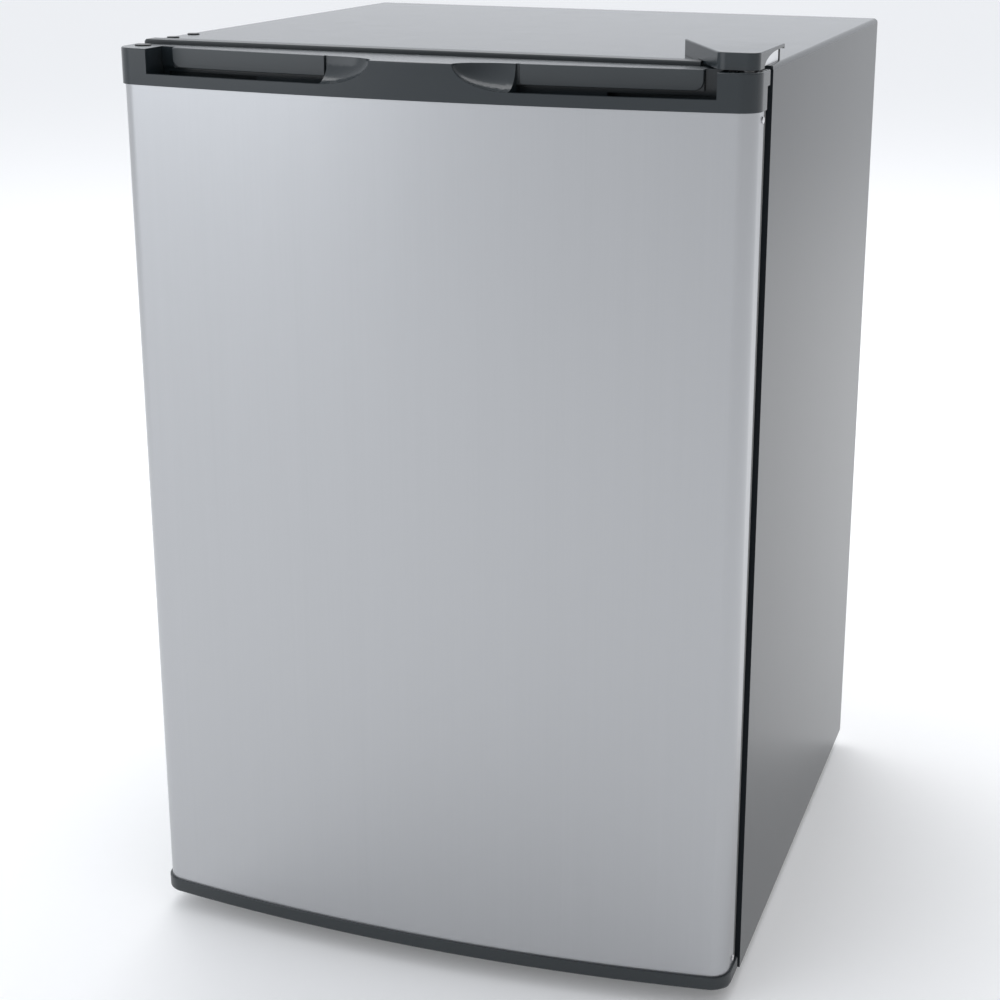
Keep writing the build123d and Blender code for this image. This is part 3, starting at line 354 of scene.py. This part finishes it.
@dataclass(frozen=True)
class SheetPaint(Finish):
    """Baked paint on steel sheet, with a trace of orange peel."""

    peel: float = 420.0
    depth: float = 0.00004
    relief: float = 0.6
    index: float = 1.5
    rolling: float = 40.0
    along: float = 0.04
    contrast: float = 0.06
    gloss: float = 0.02

    def wire(self, graph: Graph) -> None:
        """Mix the peel with soft rolling marks along the sheet's height.

        Args:
            graph: The graph of the material being made.
        """
        peel = graph.noise(self.peel, detail=2.0)
        rolling = graph.noise(self.rolling, detail=3.0, stretch=(1.0, 1.0, self.along))
        graph.dress(
            base_color=graph.blend(rolling, *spread(self.colour, self.contrast)),
            roughness=rolling.swing(self.gloss) + self.roughness,
            ior=self.index,
            normal=graph.bump(peel, self.depth, self.relief),
        )


@dataclass(frozen=True)
class Moulding(Finish):
    """Moulded plastic, from glossy to finely grained."""

    grain: float = 1400.0
    depth: float = 0.00003
    relief: float = 0.7
    contrast: float = 0.08
    flow: float = 14.0
    flow_share: float = 0.7
    gloss: float = 0.08

    def wire(self, graph: Graph) -> None:
        """Mix the tool's grain with slow changes of tone and gloss.

        Args:
            graph: The graph of the material being made.
        """
        grain = graph.noise(self.grain, detail=2.0)
        flow = graph.noise(self.flow, detail=3.0)
        tone = flow * self.flow_share + grain * (1.0 - self.flow_share)
        graph.dress(
            base_color=graph.blend(tone, *spread(self.colour, self.contrast)),
            roughness=flow.swing(self.gloss) + self.roughness,
            normal=graph.bump(grain, self.depth, self.relief),
        )


@dataclass(frozen=True)
class SpangledZinc(Finish):
    """Galvanised sheet with its crystal spangle."""

    spangle: float = 85.0
    spangle_share: float = 0.7
    spangle_gloss: float = 0.16
    dust: float = 60.0
    dust_gloss: float = 0.08
    contrast: float = 0.22
    depth: float = 0.00005
    relief: float = 0.4

    def wire(self, graph: Graph) -> None:
        """Give each crystal its own tone and gloss.

        Args:
            graph: The graph of the material being made.
        """
        crystal = graph.cells(self.spangle)
        dust = graph.noise(self.dust, detail=4.0)
        tone = crystal * self.spangle_share + dust * (1.0 - self.spangle_share)
        gloss = crystal.swing(self.spangle_gloss) + dust * self.dust_gloss
        graph.dress(
            base_color=graph.blend(tone, *spread(self.colour, self.contrast)),
            metallic=1.0,
            roughness=gloss + self.roughness,
            normal=graph.bump(dust, self.depth, self.relief),
        )


@dataclass(frozen=True)
class BareMetal(Finish):
    """Drawn or pressed metal with faint stains."""

    stain: Colour = (0.3, 0.2, 0.15)
    patch: float = 55.0
    stain_start: float = 0.45
    stain_end: float = 0.80
    scratch: float = 600.0
    along: float = 0.05
    gloss: float = 0.12
    depth: float = 0.00003
    relief: float = 0.4

    def wire(self, graph: Graph) -> None:
        """Stain the metal in patches and scratch it finely.

        Args:
            graph: The graph of the material being made.
        """
        patches = graph.noise(self.patch, detail=5.0)
        scratches = graph.noise(self.scratch, detail=2.0, stretch=(1.0, 1.0, self.along))
        graph.dress(
            base_color=graph.blend(patches, self.colour, self.stain, self.stain_start,
                                   self.stain_end),
            metallic=1.0,
            roughness=scratches * self.gloss + self.roughness,
            normal=graph.bump(scratches, self.depth, self.relief),
        )


@dataclass(frozen=True)
class Rubber(Finish):
    """Soft black rubber with dust in its grain."""

    grain: float = 1800.0
    dust: float = 90.0
    contrast: float = 0.35
    gloss: float = 0.12
    depth: float = 0.00006
    relief: float = 0.6

    def wire(self, graph: Graph) -> None:
        """Mix fine grain with pale dust.

        Args:
            graph: The graph of the material being made.
        """
        grain = graph.noise(self.grain, detail=3.0)
        dust = graph.noise(self.dust, detail=5.0)
        graph.dress(
            base_color=graph.blend(dust, *spread(self.colour, self.contrast)),
            roughness=dust.swing(self.gloss) + self.roughness,
            normal=graph.bump(grain, self.depth, self.relief),
        )


@dataclass(frozen=True)
class RigidFoam(Finish):
    """Foamed-in-place polyurethane with open cells."""

    pit: float = 700.0
    ageing: float = 12.0
    contrast: float = 0.18
    depth: float = 0.0004
    relief: float = 0.8

    def wire(self, graph: Graph) -> None:
        """Pit the surface and yellow it in patches.

        Args:
            graph: The graph of the material being made.
        """
        pits = graph.cells(self.pit)
        ageing = graph.noise(self.ageing, detail=4.0)
        graph.dress(
            base_color=graph.blend(ageing, *spread(self.colour, self.contrast)),
            roughness=self.roughness,
            normal=graph.bump(pits, self.depth, self.relief),
        )


@dataclass(frozen=True)
class ClearSheet(Finish):
    """Glass or clear plastic."""

    clearness: float = 1.0
    index: float = 1.5
    wiping: float = 25.0
    along: float = 0.3
    gloss: float = 0.03

    def wire(self, graph: Graph) -> None:
        """Let light through, with faint wiping marks in the gloss.

        Args:
            graph: The graph of the material being made.
        """
        marks = graph.noise(self.wiping, detail=4.0, stretch=(1.0, self.along, 1.0))
        graph.dress(
            base_color=self.colour,
            roughness=marks * self.gloss + self.roughness,
            transmission_weight=self.clearness,
            ior=self.index,
        )


@dataclass(frozen=True)
class Glow(Finish):
    """Frosted lamp glass that is faintly lit."""

    strength: float = 0.6
    frost: float = 900.0
    gloss: float = 0.1
    depth: float = 0.00005
    relief: float = 0.5

    def wire(self, graph: Graph) -> None:
        """Frost the glass and light it evenly.

        Args:
            graph: The graph of the material being made.
        """
        frost = graph.noise(self.frost, detail=2.0)
        graph.dress(
            base_color=self.colour,
            roughness=frost.swing(self.gloss) + self.roughness,
            emission_color=self.colour,
            emission_strength=self.strength,
            normal=graph.bump(frost, self.depth, self.relief),
        )


STEEL_SKIN = BrushedSteel("steel_skin", (0.438, 0.445, 0.457), 0.32)
CABINET_PAINT = SheetPaint("cabinet_paint", (0.022, 0.026, 0.030), 0.17, index=1.25)
BLACK_GLOSS = Moulding("black_gloss", (0.015, 0.021, 0.025), 0.22)
BLACK_SATIN = Moulding("black_satin", (0.016, 0.021, 0.024), 0.38, grain=1100.0, depth=0.00006)
PLATE_GREY = Moulding("plate_grey", (0.034, 0.041, 0.045), 0.34, grain=1200.0, depth=0.00005)
FRAME_BLACK = Moulding("frame_black", (0.012, 0.013, 0.014), 0.45, grain=900.0, depth=0.00008)
LINER_WHITE = Moulding("liner_white", (0.80, 0.81, 0.80), 0.34, grain=260.0, depth=0.00010,
                       contrast=0.02)
BIN_WHITE = Moulding("bin_white", (0.76, 0.78, 0.78), 0.30, grain=320.0, depth=0.00005,
                     contrast=0.02)
TRIM_WHITE = Moulding("trim_white", (0.82, 0.83, 0.82), 0.30, contrast=0.02)
TRAY_BLACK = Moulding("tray_black", (0.018, 0.018, 0.018), 0.5, grain=700.0, depth=0.00010)
ZINC = SpangledZinc("zinc_sheet", (0.52, 0.53, 0.54), 0.36)
DARK_ENAMEL = SheetPaint("dark_enamel", (0.010, 0.010, 0.011), 0.30, peel=260.0, depth=0.00010)
TUBE_ENAMEL = SheetPaint("tube_enamel", (0.014, 0.014, 0.015), 0.42, peel=700.0, depth=0.00005)
COPPER = BareMetal("copper", (0.72, 0.36, 0.22), 0.26, stain=(0.32, 0.15, 0.09))
SCREW_ZINC = BareMetal("screw_zinc", (0.74, 0.74, 0.76), 0.22, stain=(0.45, 0.44, 0.42))
PLATED_ZINC = BareMetal("plated_zinc", (0.82, 0.83, 0.84), 0.30, stain=(0.66, 0.66, 0.66))
COLD_ALLOY = BareMetal("cold_alloy", (0.74, 0.76, 0.78), 0.34, stain=(0.69, 0.71, 0.73))
SOFT_RUBBER = Rubber("soft_rubber", (0.022, 0.022, 0.023), 0.62)
SEAL_RUBBER = Rubber("seal_rubber", (0.014, 0.014, 0.015), 0.50)
FOAM = RigidFoam("rigid_foam", (0.78, 0.66, 0.38), 0.9)
SHELF_GLASS = ClearSheet("shelf_glass", (0.86, 0.95, 0.92), 0.01)
DRAWER_CLEAR = ClearSheet("drawer_clear", (0.86, 0.92, 0.94), 0.10, clearness=0.85, index=1.46)
LENS_CLEAR = ClearSheet("lens_clear", (0.95, 0.95, 0.93), 0.22, clearness=0.8, index=1.49)
LAMP_GLASS = Glow("lamp_glass", (1.0, 0.93, 0.80), 0.4)
DIAL_INK = Moulding("dial_ink", (0.05, 0.06, 0.08), 0.5)


class Edge(Enum):
    """How far the sharp edges of a piece are rounded, in metres."""

    SHEET = 0.00015
    FINE = 0.0003
    MOULDED = 0.0006
    SOFT = 0.0012

    def round_off(self, shape: bmesh.types.BMesh, edges: Sequence[bmesh.types.BMEdge]) -> None:
        """Round edges of a mesh over two faces."""
        bmesh.ops.bevel(shape, geom=edges, offset=self.value, offset_type="OFFSET",
                        affect="EDGES", segments=2, profile=0.5, clamp_overlap=True, material=-1)


@dataclass(frozen=True)
class Dressed:
    """A piece that keeps its node's shape, with rounded edges and a finish.

    Its flat faces are merged whole before the rounding, or else into four-sided ones, which suits
    an open box with large flat walls.
    """

    node: str
    finish: Finish
    edge: Edge = Edge.MOULDED
    whole_faces: bool = True


def smooth(mesh: bpy.types.Mesh) -> None:
    """Shade a mesh smooth, but for edges sharper than the sharp angle."""
    mesh.shade_smooth()
    mesh.set_sharp_from_angle(angle=SHARP_ANGLE)


class Workshop:
    """Makes pieces from meshes and ties them to the frame."""

    def __init__(self, frame: Mapping[str, Any]) -> None:
        """Index the frame's nodes and joints, with each node's body and material slot.
        """
        self.nodes = frame["nodes"]
        bodies = frame["record"]["behaviour"]["bodies"]
        self.body_of = {node: body for body, members in bodies.items() for node in members}
        self.slot_of = {row["node"]: row["material_slot"] for row in frame["record"]["subparts"]}
        self.joints = {joint["name"]: joint for joint in frame["joints"]}

    def low(self, node: str) -> Vector:
        """Return a node's lowest corner."""
        return Vector(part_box(node)[0])

    def high(self, node: str) -> Vector:
        """Return a node's highest corner."""
        return Vector(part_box(node)[1])

    def piece(
        self,
        name: str,
        shape: bmesh.types.BMesh,
        finish: Finish,
        node: str,
        replaces: Sequence[str] = (),
    ) -> bpy.types.Object:
        """Turn a bmesh into a piece that rides where a node rides.

        Args:
            name: The piece's name.
            shape: The mesh to use; it is freed.
            finish: The finish to give it.
            node: The node whose body it shares.
            replaces: The nodes that it stands for.

        Returns:
            The new object.
        """
        mesh = bpy.data.meshes.new(name)
        shape.to_mesh(mesh)
        shape.free()
        smooth(mesh)
        made = bpy.data.objects.new(name, mesh)
        bpy.context.scene.collection.objects.link(made)
        mesh.materials.append(finish.material())
        weighted = made.modifiers.new("normals", "WEIGHTED_NORMAL")
        weighted.keep_sharp = True
        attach(made, self.body_of[node])
        if replaces:
            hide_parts(*replaces)
        LOG.info("%s rides on %s", name, self.body_of[node])
        return made

    def refine(self, dressed: Dressed) -> bpy.types.Object:
        """Copy a node's mesh, merge it, round its sharp edges and give it its finish.

        Args:
            dressed: The node, its finish and how its edges are rounded.

        Returns:
            The piece that stands for the node.
        """
        shape = bmesh.new()
        shape.from_mesh(self.nodes[dressed.node].data)
        bmesh.ops.remove_doubles(shape, verts=shape.verts, dist=MERGE_DISTANCE)
        if dressed.whole_faces:
            bmesh.ops.dissolve_limit(shape, angle_limit=FLAT_ANGLE, verts=shape.verts,
                                     edges=shape.edges)
        else:
            bmesh.ops.join_triangles(shape, faces=shape.faces, angle_face_threshold=FLAT_ANGLE,
                                     angle_shape_threshold=pi)
        sharp = [edge for edge in shape.edges
                 if len(edge.link_faces) == 2 and edge.calc_face_angle(0.0) > SHARP_ANGLE]
        dressed.edge.round_off(shape, sharp)
        wide = [face for face in shape.faces if len(face.verts) > 4]
        bmesh.ops.triangulate(shape, faces=wide, quad_method="BEAUTY", ngon_method="EAR_CLIP")
        return self.piece(f"{dressed.node}_piece", shape, dressed.finish, dressed.node,
                          (dressed.node,))

    def repaint(self, node: str, finish: Finish) -> None:
        """Give a node that keeps its own mesh a finish.

        Args:
            node: The node's name.
            finish: Its new finish.
        """
        materials = self.nodes[node].data.materials
        materials.clear()
        materials.append(finish.material())


@dataclass
class SubAssembly:
    """A group of pieces that is dressed together."""

    shop: Workshop

    def dressed(self) -> Sequence[Dressed]:
        """Return the pieces that keep their node's shape."""
        return ()

    def repainted(self) -> Mapping[str, Finish]:
        """Return the nodes that only get a finish."""
        return {}

    def build(self) -> None:
        """Build every piece of the group."""
        for dressed in self.dressed():
            self.shop.refine(dressed)
        for node, finish in self.repainted().items():
            self.shop.repaint(node, finish)


@dataclass
class Cabinet(SubAssembly):
    """The wrapper, its trim, back, base and insulation."""

    def dressed(self) -> Sequence[Dressed]:
        """Return the cabinet's pieces."""
        return (
            Dressed("outer_wrapper", CABINET_PAINT, Edge.SHEET),
            Dressed("top_front_trim", BLACK_SATIN),
            Dressed("back_panel", ZINC, Edge.FINE),
            Dressed("base_pan", ZINC, Edge.SHEET),
            Dressed("inner_liner", LINER_WHITE, Edge.SOFT),
            Dressed("cabinet_plugs", FRAME_BLACK, Edge.FINE),
            Dressed("cord_gland", SOFT_RUBBER),
            Dressed("rear_feet", SOFT_RUBBER),
            Dressed("front_foot_left", SOFT_RUBBER),
            Dressed("front_foot_right", SOFT_RUBBER),
        )

    def repainted(self) -> Mapping[str, Finish]:
        """Return the insulation, which is closed in."""
        walls = ("left", "right", "top", "back", "floor", "step")
        return {f"foam_{wall}": FOAM for wall in walls}


@dataclass
class Interior(SubAssembly):
    """Shelves, crisper, thermostat, lamp and switch."""

    dial_numbers: int = 7
    dial_start: float = radians(-45.0)
    dial_radius: float = 0.0200
    number_height: float = 0.0060
    print_thickness: float = 0.0001
    pointer_reach: tuple[float, float] = (0.0070, 0.0145)
    pointer_width: float = 0.0022
    pointer_height: float = 0.0006

    def dressed(self) -> Sequence[Dressed]:
        """Return the interior's pieces."""
        return (
            Dressed("lower_shelf_glass", SHELF_GLASS, Edge.FINE),
            Dressed("upper_shelf_glass", SHELF_GLASS, Edge.FINE),
            Dressed("crisper_cover_glass", SHELF_GLASS, Edge.FINE),
            Dressed("shelf_trims", TRIM_WHITE),
            Dressed("crisper_drawer", DRAWER_CLEAR, whole_faces=False),
            Dressed("evaporator_plate", COLD_ALLOY, Edge.FINE),
            Dressed("drain_trough", BIN_WHITE, Edge.FINE),
            Dressed("thermostat_housing", BIN_WHITE),
            Dressed("thermostat_knob", TRIM_WHITE),
            Dressed("lamp_lens", LENS_CLEAR),
            Dressed("switch_housing", BIN_WHITE),
            Dressed("switch_plunger", TRIM_WHITE, Edge.FINE),
        )

    def repainted(self) -> Mapping[str, Finish]:
        """Return the lamp, which keeps its own round mesh."""
        return {"lamp_bulb": LAMP_GLASS}

    def build(self) -> None:
        """Build the interior."""
        super().build()
        self.dial()
        self.pointer()

    def dial_point(self, node: str, radius: float, turn: float = 0.0) -> Vector:
        """Return a point in front of a node, round the thermostat's axis.

        Args:
            node: The node on whose front the point lies.
            radius: Its distance from the axis.
            turn: Its angle from where the knob points at rest, in radians.

        Returns:
            The point.
        """
        angle = self.dial_start + turn
        centre = Vector(self.shop.joints["thermostat_turn"]["pos_m"])
        centre.y = self.shop.low(node).y
        return centre + radius * Vector((cos(angle), 0.0, sin(angle)))

    def number(self, text: str, place: Vector) -> bpy.types.Mesh:
        """Make a number's mesh, upright and facing the front.

        Args:
            text: The number to print.
            place: Its middle.

        Returns:
            The mesh, in the frame's coordinates.
        """
        curve = bpy.data.curves.new("number", "FONT")
        curve.body, curve.size = text, self.number_height
        curve.extrude = self.print_thickness
        curve.align_x, curve.align_y = "CENTER", "CENTER"
        holder = bpy.data.objects.new("number", curve)
        mesh = bpy.data.meshes.new_from_object(holder)
        mesh.transform(Matrix.Translation(place) @ Matrix.Rotation(pi / 2, 4, "X"))
        bpy.data.objects.remove(holder)
        bpy.data.curves.remove(curve)
        return mesh

    def dial(self) -> bpy.types.Object:
        """Print numbers on the housing, from the knob's rest to its limit.

        Returns:
            The printed piece.
        """
        limit = self.shop.joints["thermostat_turn"]["range_deg"][1]
        step = radians(limit) / (self.dial_numbers - 1)
        shape = bmesh.new()
        for index in range(self.dial_numbers):
            place = self.dial_point("thermostat_housing", self.dial_radius, index * step)
            mesh = self.number(str(index), place)
            shape.from_mesh(mesh)
            bpy.data.meshes.remove(mesh)
        return self.shop.piece("dial_numbers", shape, DIAL_INK, "thermostat_housing")

    def pointer(self) -> bpy.types.Object:
        """Raise a mark on the knob, which points at the first number at rest.

        Returns:
            The pointer piece.
        """
        inner, outer = self.pointer_reach
        place = self.dial_point("thermostat_knob", (inner + outer) / 2)
        size = (outer - inner, self.pointer_height, self.pointer_width, 1.0)
        shape = bmesh.new()
        turned = Matrix.Translation(place) @ Matrix.Rotation(-self.dial_start, 4, "Y")
        bmesh.ops.create_cube(shape, size=1.0, matrix=turned @ Matrix.Diagonal(size))
        Edge.SHEET.round_off(shape, shape.edges[:])
        return self.shop.piece("knob_pointer", shape, DIAL_INK, "thermostat_knob")


@dataclass
class CoolingUnit(SubAssembly):
    """Compressor, condenser, drier, lines and trays."""

    def dressed(self) -> Sequence[Dressed]:
        """Return the cooling unit's pieces."""
        return (
            Dressed("compressor", DARK_ENAMEL, Edge.FINE),
            Dressed("compressor_plate", ZINC, Edge.FINE),
            Dressed("compressor_grommets", SOFT_RUBBER, Edge.FINE),
            Dressed("compressor_bolts", SCREW_ZINC, Edge.FINE),
            Dressed("relay_box", TRAY_BLACK),
            Dressed("evaporation_pan", TRAY_BLACK),
            Dressed("condenser_brackets", TRAY_BLACK),
            Dressed("filter_drier", COPPER, Edge.FINE),
            Dressed("condenser_tube", TUBE_ENAMEL, Edge.SHEET),
            Dressed("refrigerant_lines", COPPER, Edge.SHEET),
        )

    def repainted(self) -> Mapping[str, Finish]:
        """Return the wires, which keep their own round meshes."""
        return {"condenser_wires": TUBE_ENAMEL}


@dataclass
class Hinges(SubAssembly):
    """Both hinges, their screws and the cover."""

    def dressed(self) -> Sequence[Dressed]:
        """Return the hinge pieces."""
        return (
            Dressed("upper_hinge", PLATED_ZINC, Edge.FINE),
            Dressed("lower_hinge", DARK_ENAMEL, Edge.FINE),
            Dressed("hinge_screws", SCREW_ZINC, Edge.SHEET),
            Dressed("hinge_cover", BLACK_GLOSS),
        )


@dataclass
class Door(SubAssembly):
    """The door with its skin, cap, trim, gasket, liner and bins."""

    bow_radius: float = 1.732
    corner_radius: float = 0.016
    skin_thickness: float = 0.0008
    bow_steps: int = 48
    corner_steps: int = 10
    seal_profile: Sequence[tuple[float, float]] = (
        (0.0010, 0.0000), (0.0010, 0.0022), (0.0034, 0.0034), (0.0012, 0.0048), (0.0006, 0.0062),
        (0.0010, 0.0090), (0.0022, 0.0095), (0.0080, 0.0094), (0.0092, 0.0089), (0.0100, 0.0070),
        (0.0150, 0.0064), (0.0176, 0.0048), (0.0168, 0.0030), (0.0150, 0.0000),
    )

    def dressed(self) -> Sequence[Dressed]:
        """Return the door's pieces that keep their node's shape."""
        return (
            Dressed("door_bottom_trim", BLACK_SATIN, Edge.FINE),
            Dressed("door_top_cap", BLACK_GLOSS),
            Dressed("left_handle_plate", PLATE_GREY),
            Dressed("right_handle_plate", PLATE_GREY),
            Dressed("door_frame", FRAME_BLACK),
            Dressed("door_liner", LINER_WHITE, Edge.SOFT),
            Dressed("bottle_bin", BIN_WHITE),
            Dressed("lower_door_bin", BIN_WHITE),
            Dressed("upper_door_bin", BIN_WHITE),
            Dressed("can_rack", BIN_WHITE),
            Dressed("hinge_bushes", TRAY_BLACK, Edge.FINE),
            Dressed("door_cap_plug", FRAME_BLACK, Edge.FINE),
            Dressed("skin_screws", SCREW_ZINC, Edge.SHEET),
        )

    def repainted(self) -> Mapping[str, Finish]:
        """Return the door's core, which is closed in."""
        return {"door_foam": FOAM}

    def build(self) -> None:
        """Build the door."""
        super().build()
        self.skin()
        self.gasket()

    def bend(self, shape: bmesh.types.BMesh) -> None:
        """Draw the skin's lower edge: a spun bow, a spun corner and a straight side, mirrored.

        Args:
            shape: The empty mesh to draw in.
        """
        low, high = self.shop.low("door_skin"), self.shop.high("door_skin")
        corner_x = high.x - self.corner_radius
        reach = self.bow_radius - self.corner_radius
        half_bow = asin(corner_x / reach)
        bow_y = low.y + self.bow_radius
        corner_y = bow_y - sqrt(reach**2 - corner_x**2)
        turns = (
            (Vector((0.0, bow_y, 0.0)), half_bow, self.bow_steps // 2),
            (Vector((corner_x, corner_y, 0.0)), pi / 2 - half_bow, self.corner_steps),
        )
        end = bmesh.ops.create_vert(shape, co=(0.0, low.y, low.z))["vert"]
        for centre, angle, steps in turns:
            spun = bmesh.ops.spin(shape, geom=end, cent=centre, axis=(0.0, 0.0, 1.0), angle=angle,
                                  steps=steps, use_merge=False)
            end = [item for item in spun["geom_last"] if isinstance(item, bmesh.types.BMVert)]
        side = bmesh.ops.extrude_vert_indiv(shape, verts=end)["verts"]
        side[0].co.y = high.y
        bmesh.ops.mirror(shape, geom=shape.verts[:] + shape.edges[:], axis="X",
                         merge_dist=MERGE_DISTANCE)

    def skin(self) -> bpy.types.Object:
        """Raise the stainless skin from its lower edge and give it its thickness.

        Returns:
            The skin piece.
        """
        shape = bmesh.new()
        self.bend(shape)
        height = self.shop.high("door_skin").z - self.shop.low("door_skin").z
        raised = bmesh.ops.extrude_edge_only(shape, edges=shape.edges[:])["geom"]
        verts = [item for item in raised if isinstance(item, bmesh.types.BMVert)]
        bmesh.ops.translate(shape, verts=verts, vec=(0.0, 0.0, height))
        bmesh.ops.recalc_face_normals(shape, faces=shape.faces)
        front = min(shape.faces, key=lambda face: face.calc_center_median().y)
        if front.normal.y > 0.0:
            bmesh.ops.reverse_faces(shape, faces=shape.faces)
        bmesh.ops.solidify(shape, geom=shape.faces[:], thickness=self.skin_thickness)
        return self.shop.piece("door_skin_sheet", shape, STEEL_SKIN, "door_skin", ("door_skin",))

    def gasket(self) -> bpy.types.Object:
        """Sweep the seal's bellows profile round the door's back with mitred corners.

        Returns:
            The gasket piece.
        """
        low, high = self.shop.low("door_gasket"), self.shop.high("door_gasket")
        mitres = ((low.x, low.z, 1, 1), (high.x, low.z, -1, 1), (high.x, high.z, -1, -1),
                  (low.x, high.z, 1, -1))
        shape = bmesh.new()
        loops = []
        for x, z, turn_x, turn_z in mitres:
            verts = [shape.verts.new((x + turn_x * inward, low.y + depth, z + turn_z * inward))
                     for inward, depth in self.seal_profile]
            loops.append([shape.edges.new(pair) for pair in zip(verts, verts[1:] + verts[:1])])
        for near, far in zip(loops, loops[1:] + loops[:1]):
            bmesh.ops.bridge_loops(shape, edges=near + far)
        bmesh.ops.recalc_face_normals(shape, faces=shape.faces)
        return self.shop.piece("door_gasket_seal", shape, SEAL_RUBBER, "door_gasket",
                               ("door_gasket",))


@dataclass(frozen=True)
class SoftBox:
    """A large area light that looks at a point."""

    name: str
    place: Point
    target: Point
    width: float
    height: float
    power: float
    colour: Colour = (1.0, 1.0, 1.0)

    def light(self) -> None:
        """Hang the light."""
        data = bpy.data.lights.new(self.name, "AREA")
        data.shape = "RECTANGLE"
        data.size, data.size_y = self.width, self.height
        data.energy = self.power
        data.color = self.colour
        lamp = bpy.data.objects.new(self.name, data)
        lamp.location = self.place
        toward = Vector(self.target) - Vector(self.place)
        lamp.rotation_euler = toward.to_track_quat("-Z", "Y").to_euler()
        bpy.context.scene.collection.objects.link(lamp)


@dataclass
class Studio:
    """Floor, surroundings, lights and camera."""

    floor_size: float = 40.0
    floor_colour: Colour = (0.86, 0.86, 0.86)
    floor_contrast: float = 0.01
    floor_speckle: float = 60.0
    floor_roughness: float = 0.8
    floor_glow: float = 0.12
    sky: Colour = (1.00, 1.03, 1.08)
    shade: Colour = (0.50, 0.50, 0.51)
    shade_toward: Point = (0.97, -0.24, 0.0)
    shade_start: float = 0.48
    shade_end: float = 0.82
    camera_place: Point = (0.545, -1.576, 0.906)
    camera_yaw: float = 17.56
    camera_pitch: float = 16.52
    camera_roll: float = 0.53
    sensor: float = 36.0
    lens: float = 67.3
    shift: tuple[float, float] = (-0.08, -0.08)
    boxes: Sequence[SoftBox] = (
        SoftBox("front_left", (-2.6, -2.9, 1.4), (-0.1, -0.2, 0.5), 2.6, 2.2, 23.0,
                (0.93, 0.96, 1.0)),
        SoftBox("overhead", (-0.4, 1.5, 3.0), (0.0, 0.6, 0.0), 3.0, 3.0, 52.0),
    )

    def floor(self) -> None:
        """Lay the floor."""
        material, graph = surface("studio_floor")
        speckle = graph.noise(self.floor_speckle, detail=4.0)
        graph.dress(
            base_color=graph.blend(speckle, *spread(self.floor_colour, self.floor_contrast)),
            roughness=self.floor_roughness,
            emission_color=self.floor_colour,
            emission_strength=self.floor_glow,
        )
        shape = bmesh.new()
        bmesh.ops.create_grid(shape, x_segments=1, y_segments=1, size=self.floor_size / 2)
        mesh = bpy.data.meshes.new("studio_floor")
        shape.to_mesh(mesh)
        shape.free()
        mesh.materials.append(material)
        floor = bpy.data.objects.new("studio_floor", mesh)
        bpy.context.scene.collection.objects.link(floor)

    def surroundings(self) -> None:
        """Surround the set with pale light that falls off towards one side."""
        world = bpy.data.worlds.new("studio")
        graph = Graph(world, "ShaderNodeBackground", "ShaderNodeOutputWorld")
        toward = graph.node("ShaderNodeTexCoord", output="Generated")
        facing = graph.node("ShaderNodeVectorMath", {"operation": "DOT_PRODUCT"},
                            {0: toward, 1: self.shade_toward}, "Value")
        colour = graph.blend(facing * 0.5 + 0.5, self.sky, self.shade, self.shade_start,
                             self.shade_end)
        graph.dress(color=colour, strength=1.0)
        scene = bpy.context.scene
        scene.world = world
        scene.view_settings.view_transform = "Standard"
        scene.view_settings.look = "None"

    def camera(self) -> None:
        """Set up the camera."""
        data = bpy.data.cameras.new("camera")
        data.sensor_width = self.sensor
        data.lens = self.lens
        data.shift_x, data.shift_y = self.shift
        camera = bpy.data.objects.new("camera", data)
        aim = Matrix.Rotation(radians(self.camera_yaw), 4, "Z")
        aim @= Matrix.Rotation(radians(90.0 - self.camera_pitch), 4, "X")
        aim @= Matrix.Rotation(radians(self.camera_roll), 4, "Z")
        camera.matrix_world = Matrix.Translation(self.camera_place) @ aim
        bpy.context.scene.collection.objects.link(camera)
        bpy.context.scene.camera = camera

    def build(self) -> None:
        """Build the whole set."""
        self.floor()
        self.surroundings()
        self.camera()
        for box in self.boxes:
            box.light()


def main() -> None:
    """Build the refrigerator and its studio."""
    logging.basicConfig(level=logging.INFO, format="%(name)s: %(message)s")
    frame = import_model()
    Studio().build()
    shop = Workshop(frame)
    for group in (Cabinet(shop), Interior(shop), CoolingUnit(shop), Hinges(shop), Door(shop)):
        group.build()
        LOG.info("%s is built", type(group).__name__)


if __name__ == "__main__":
    main()
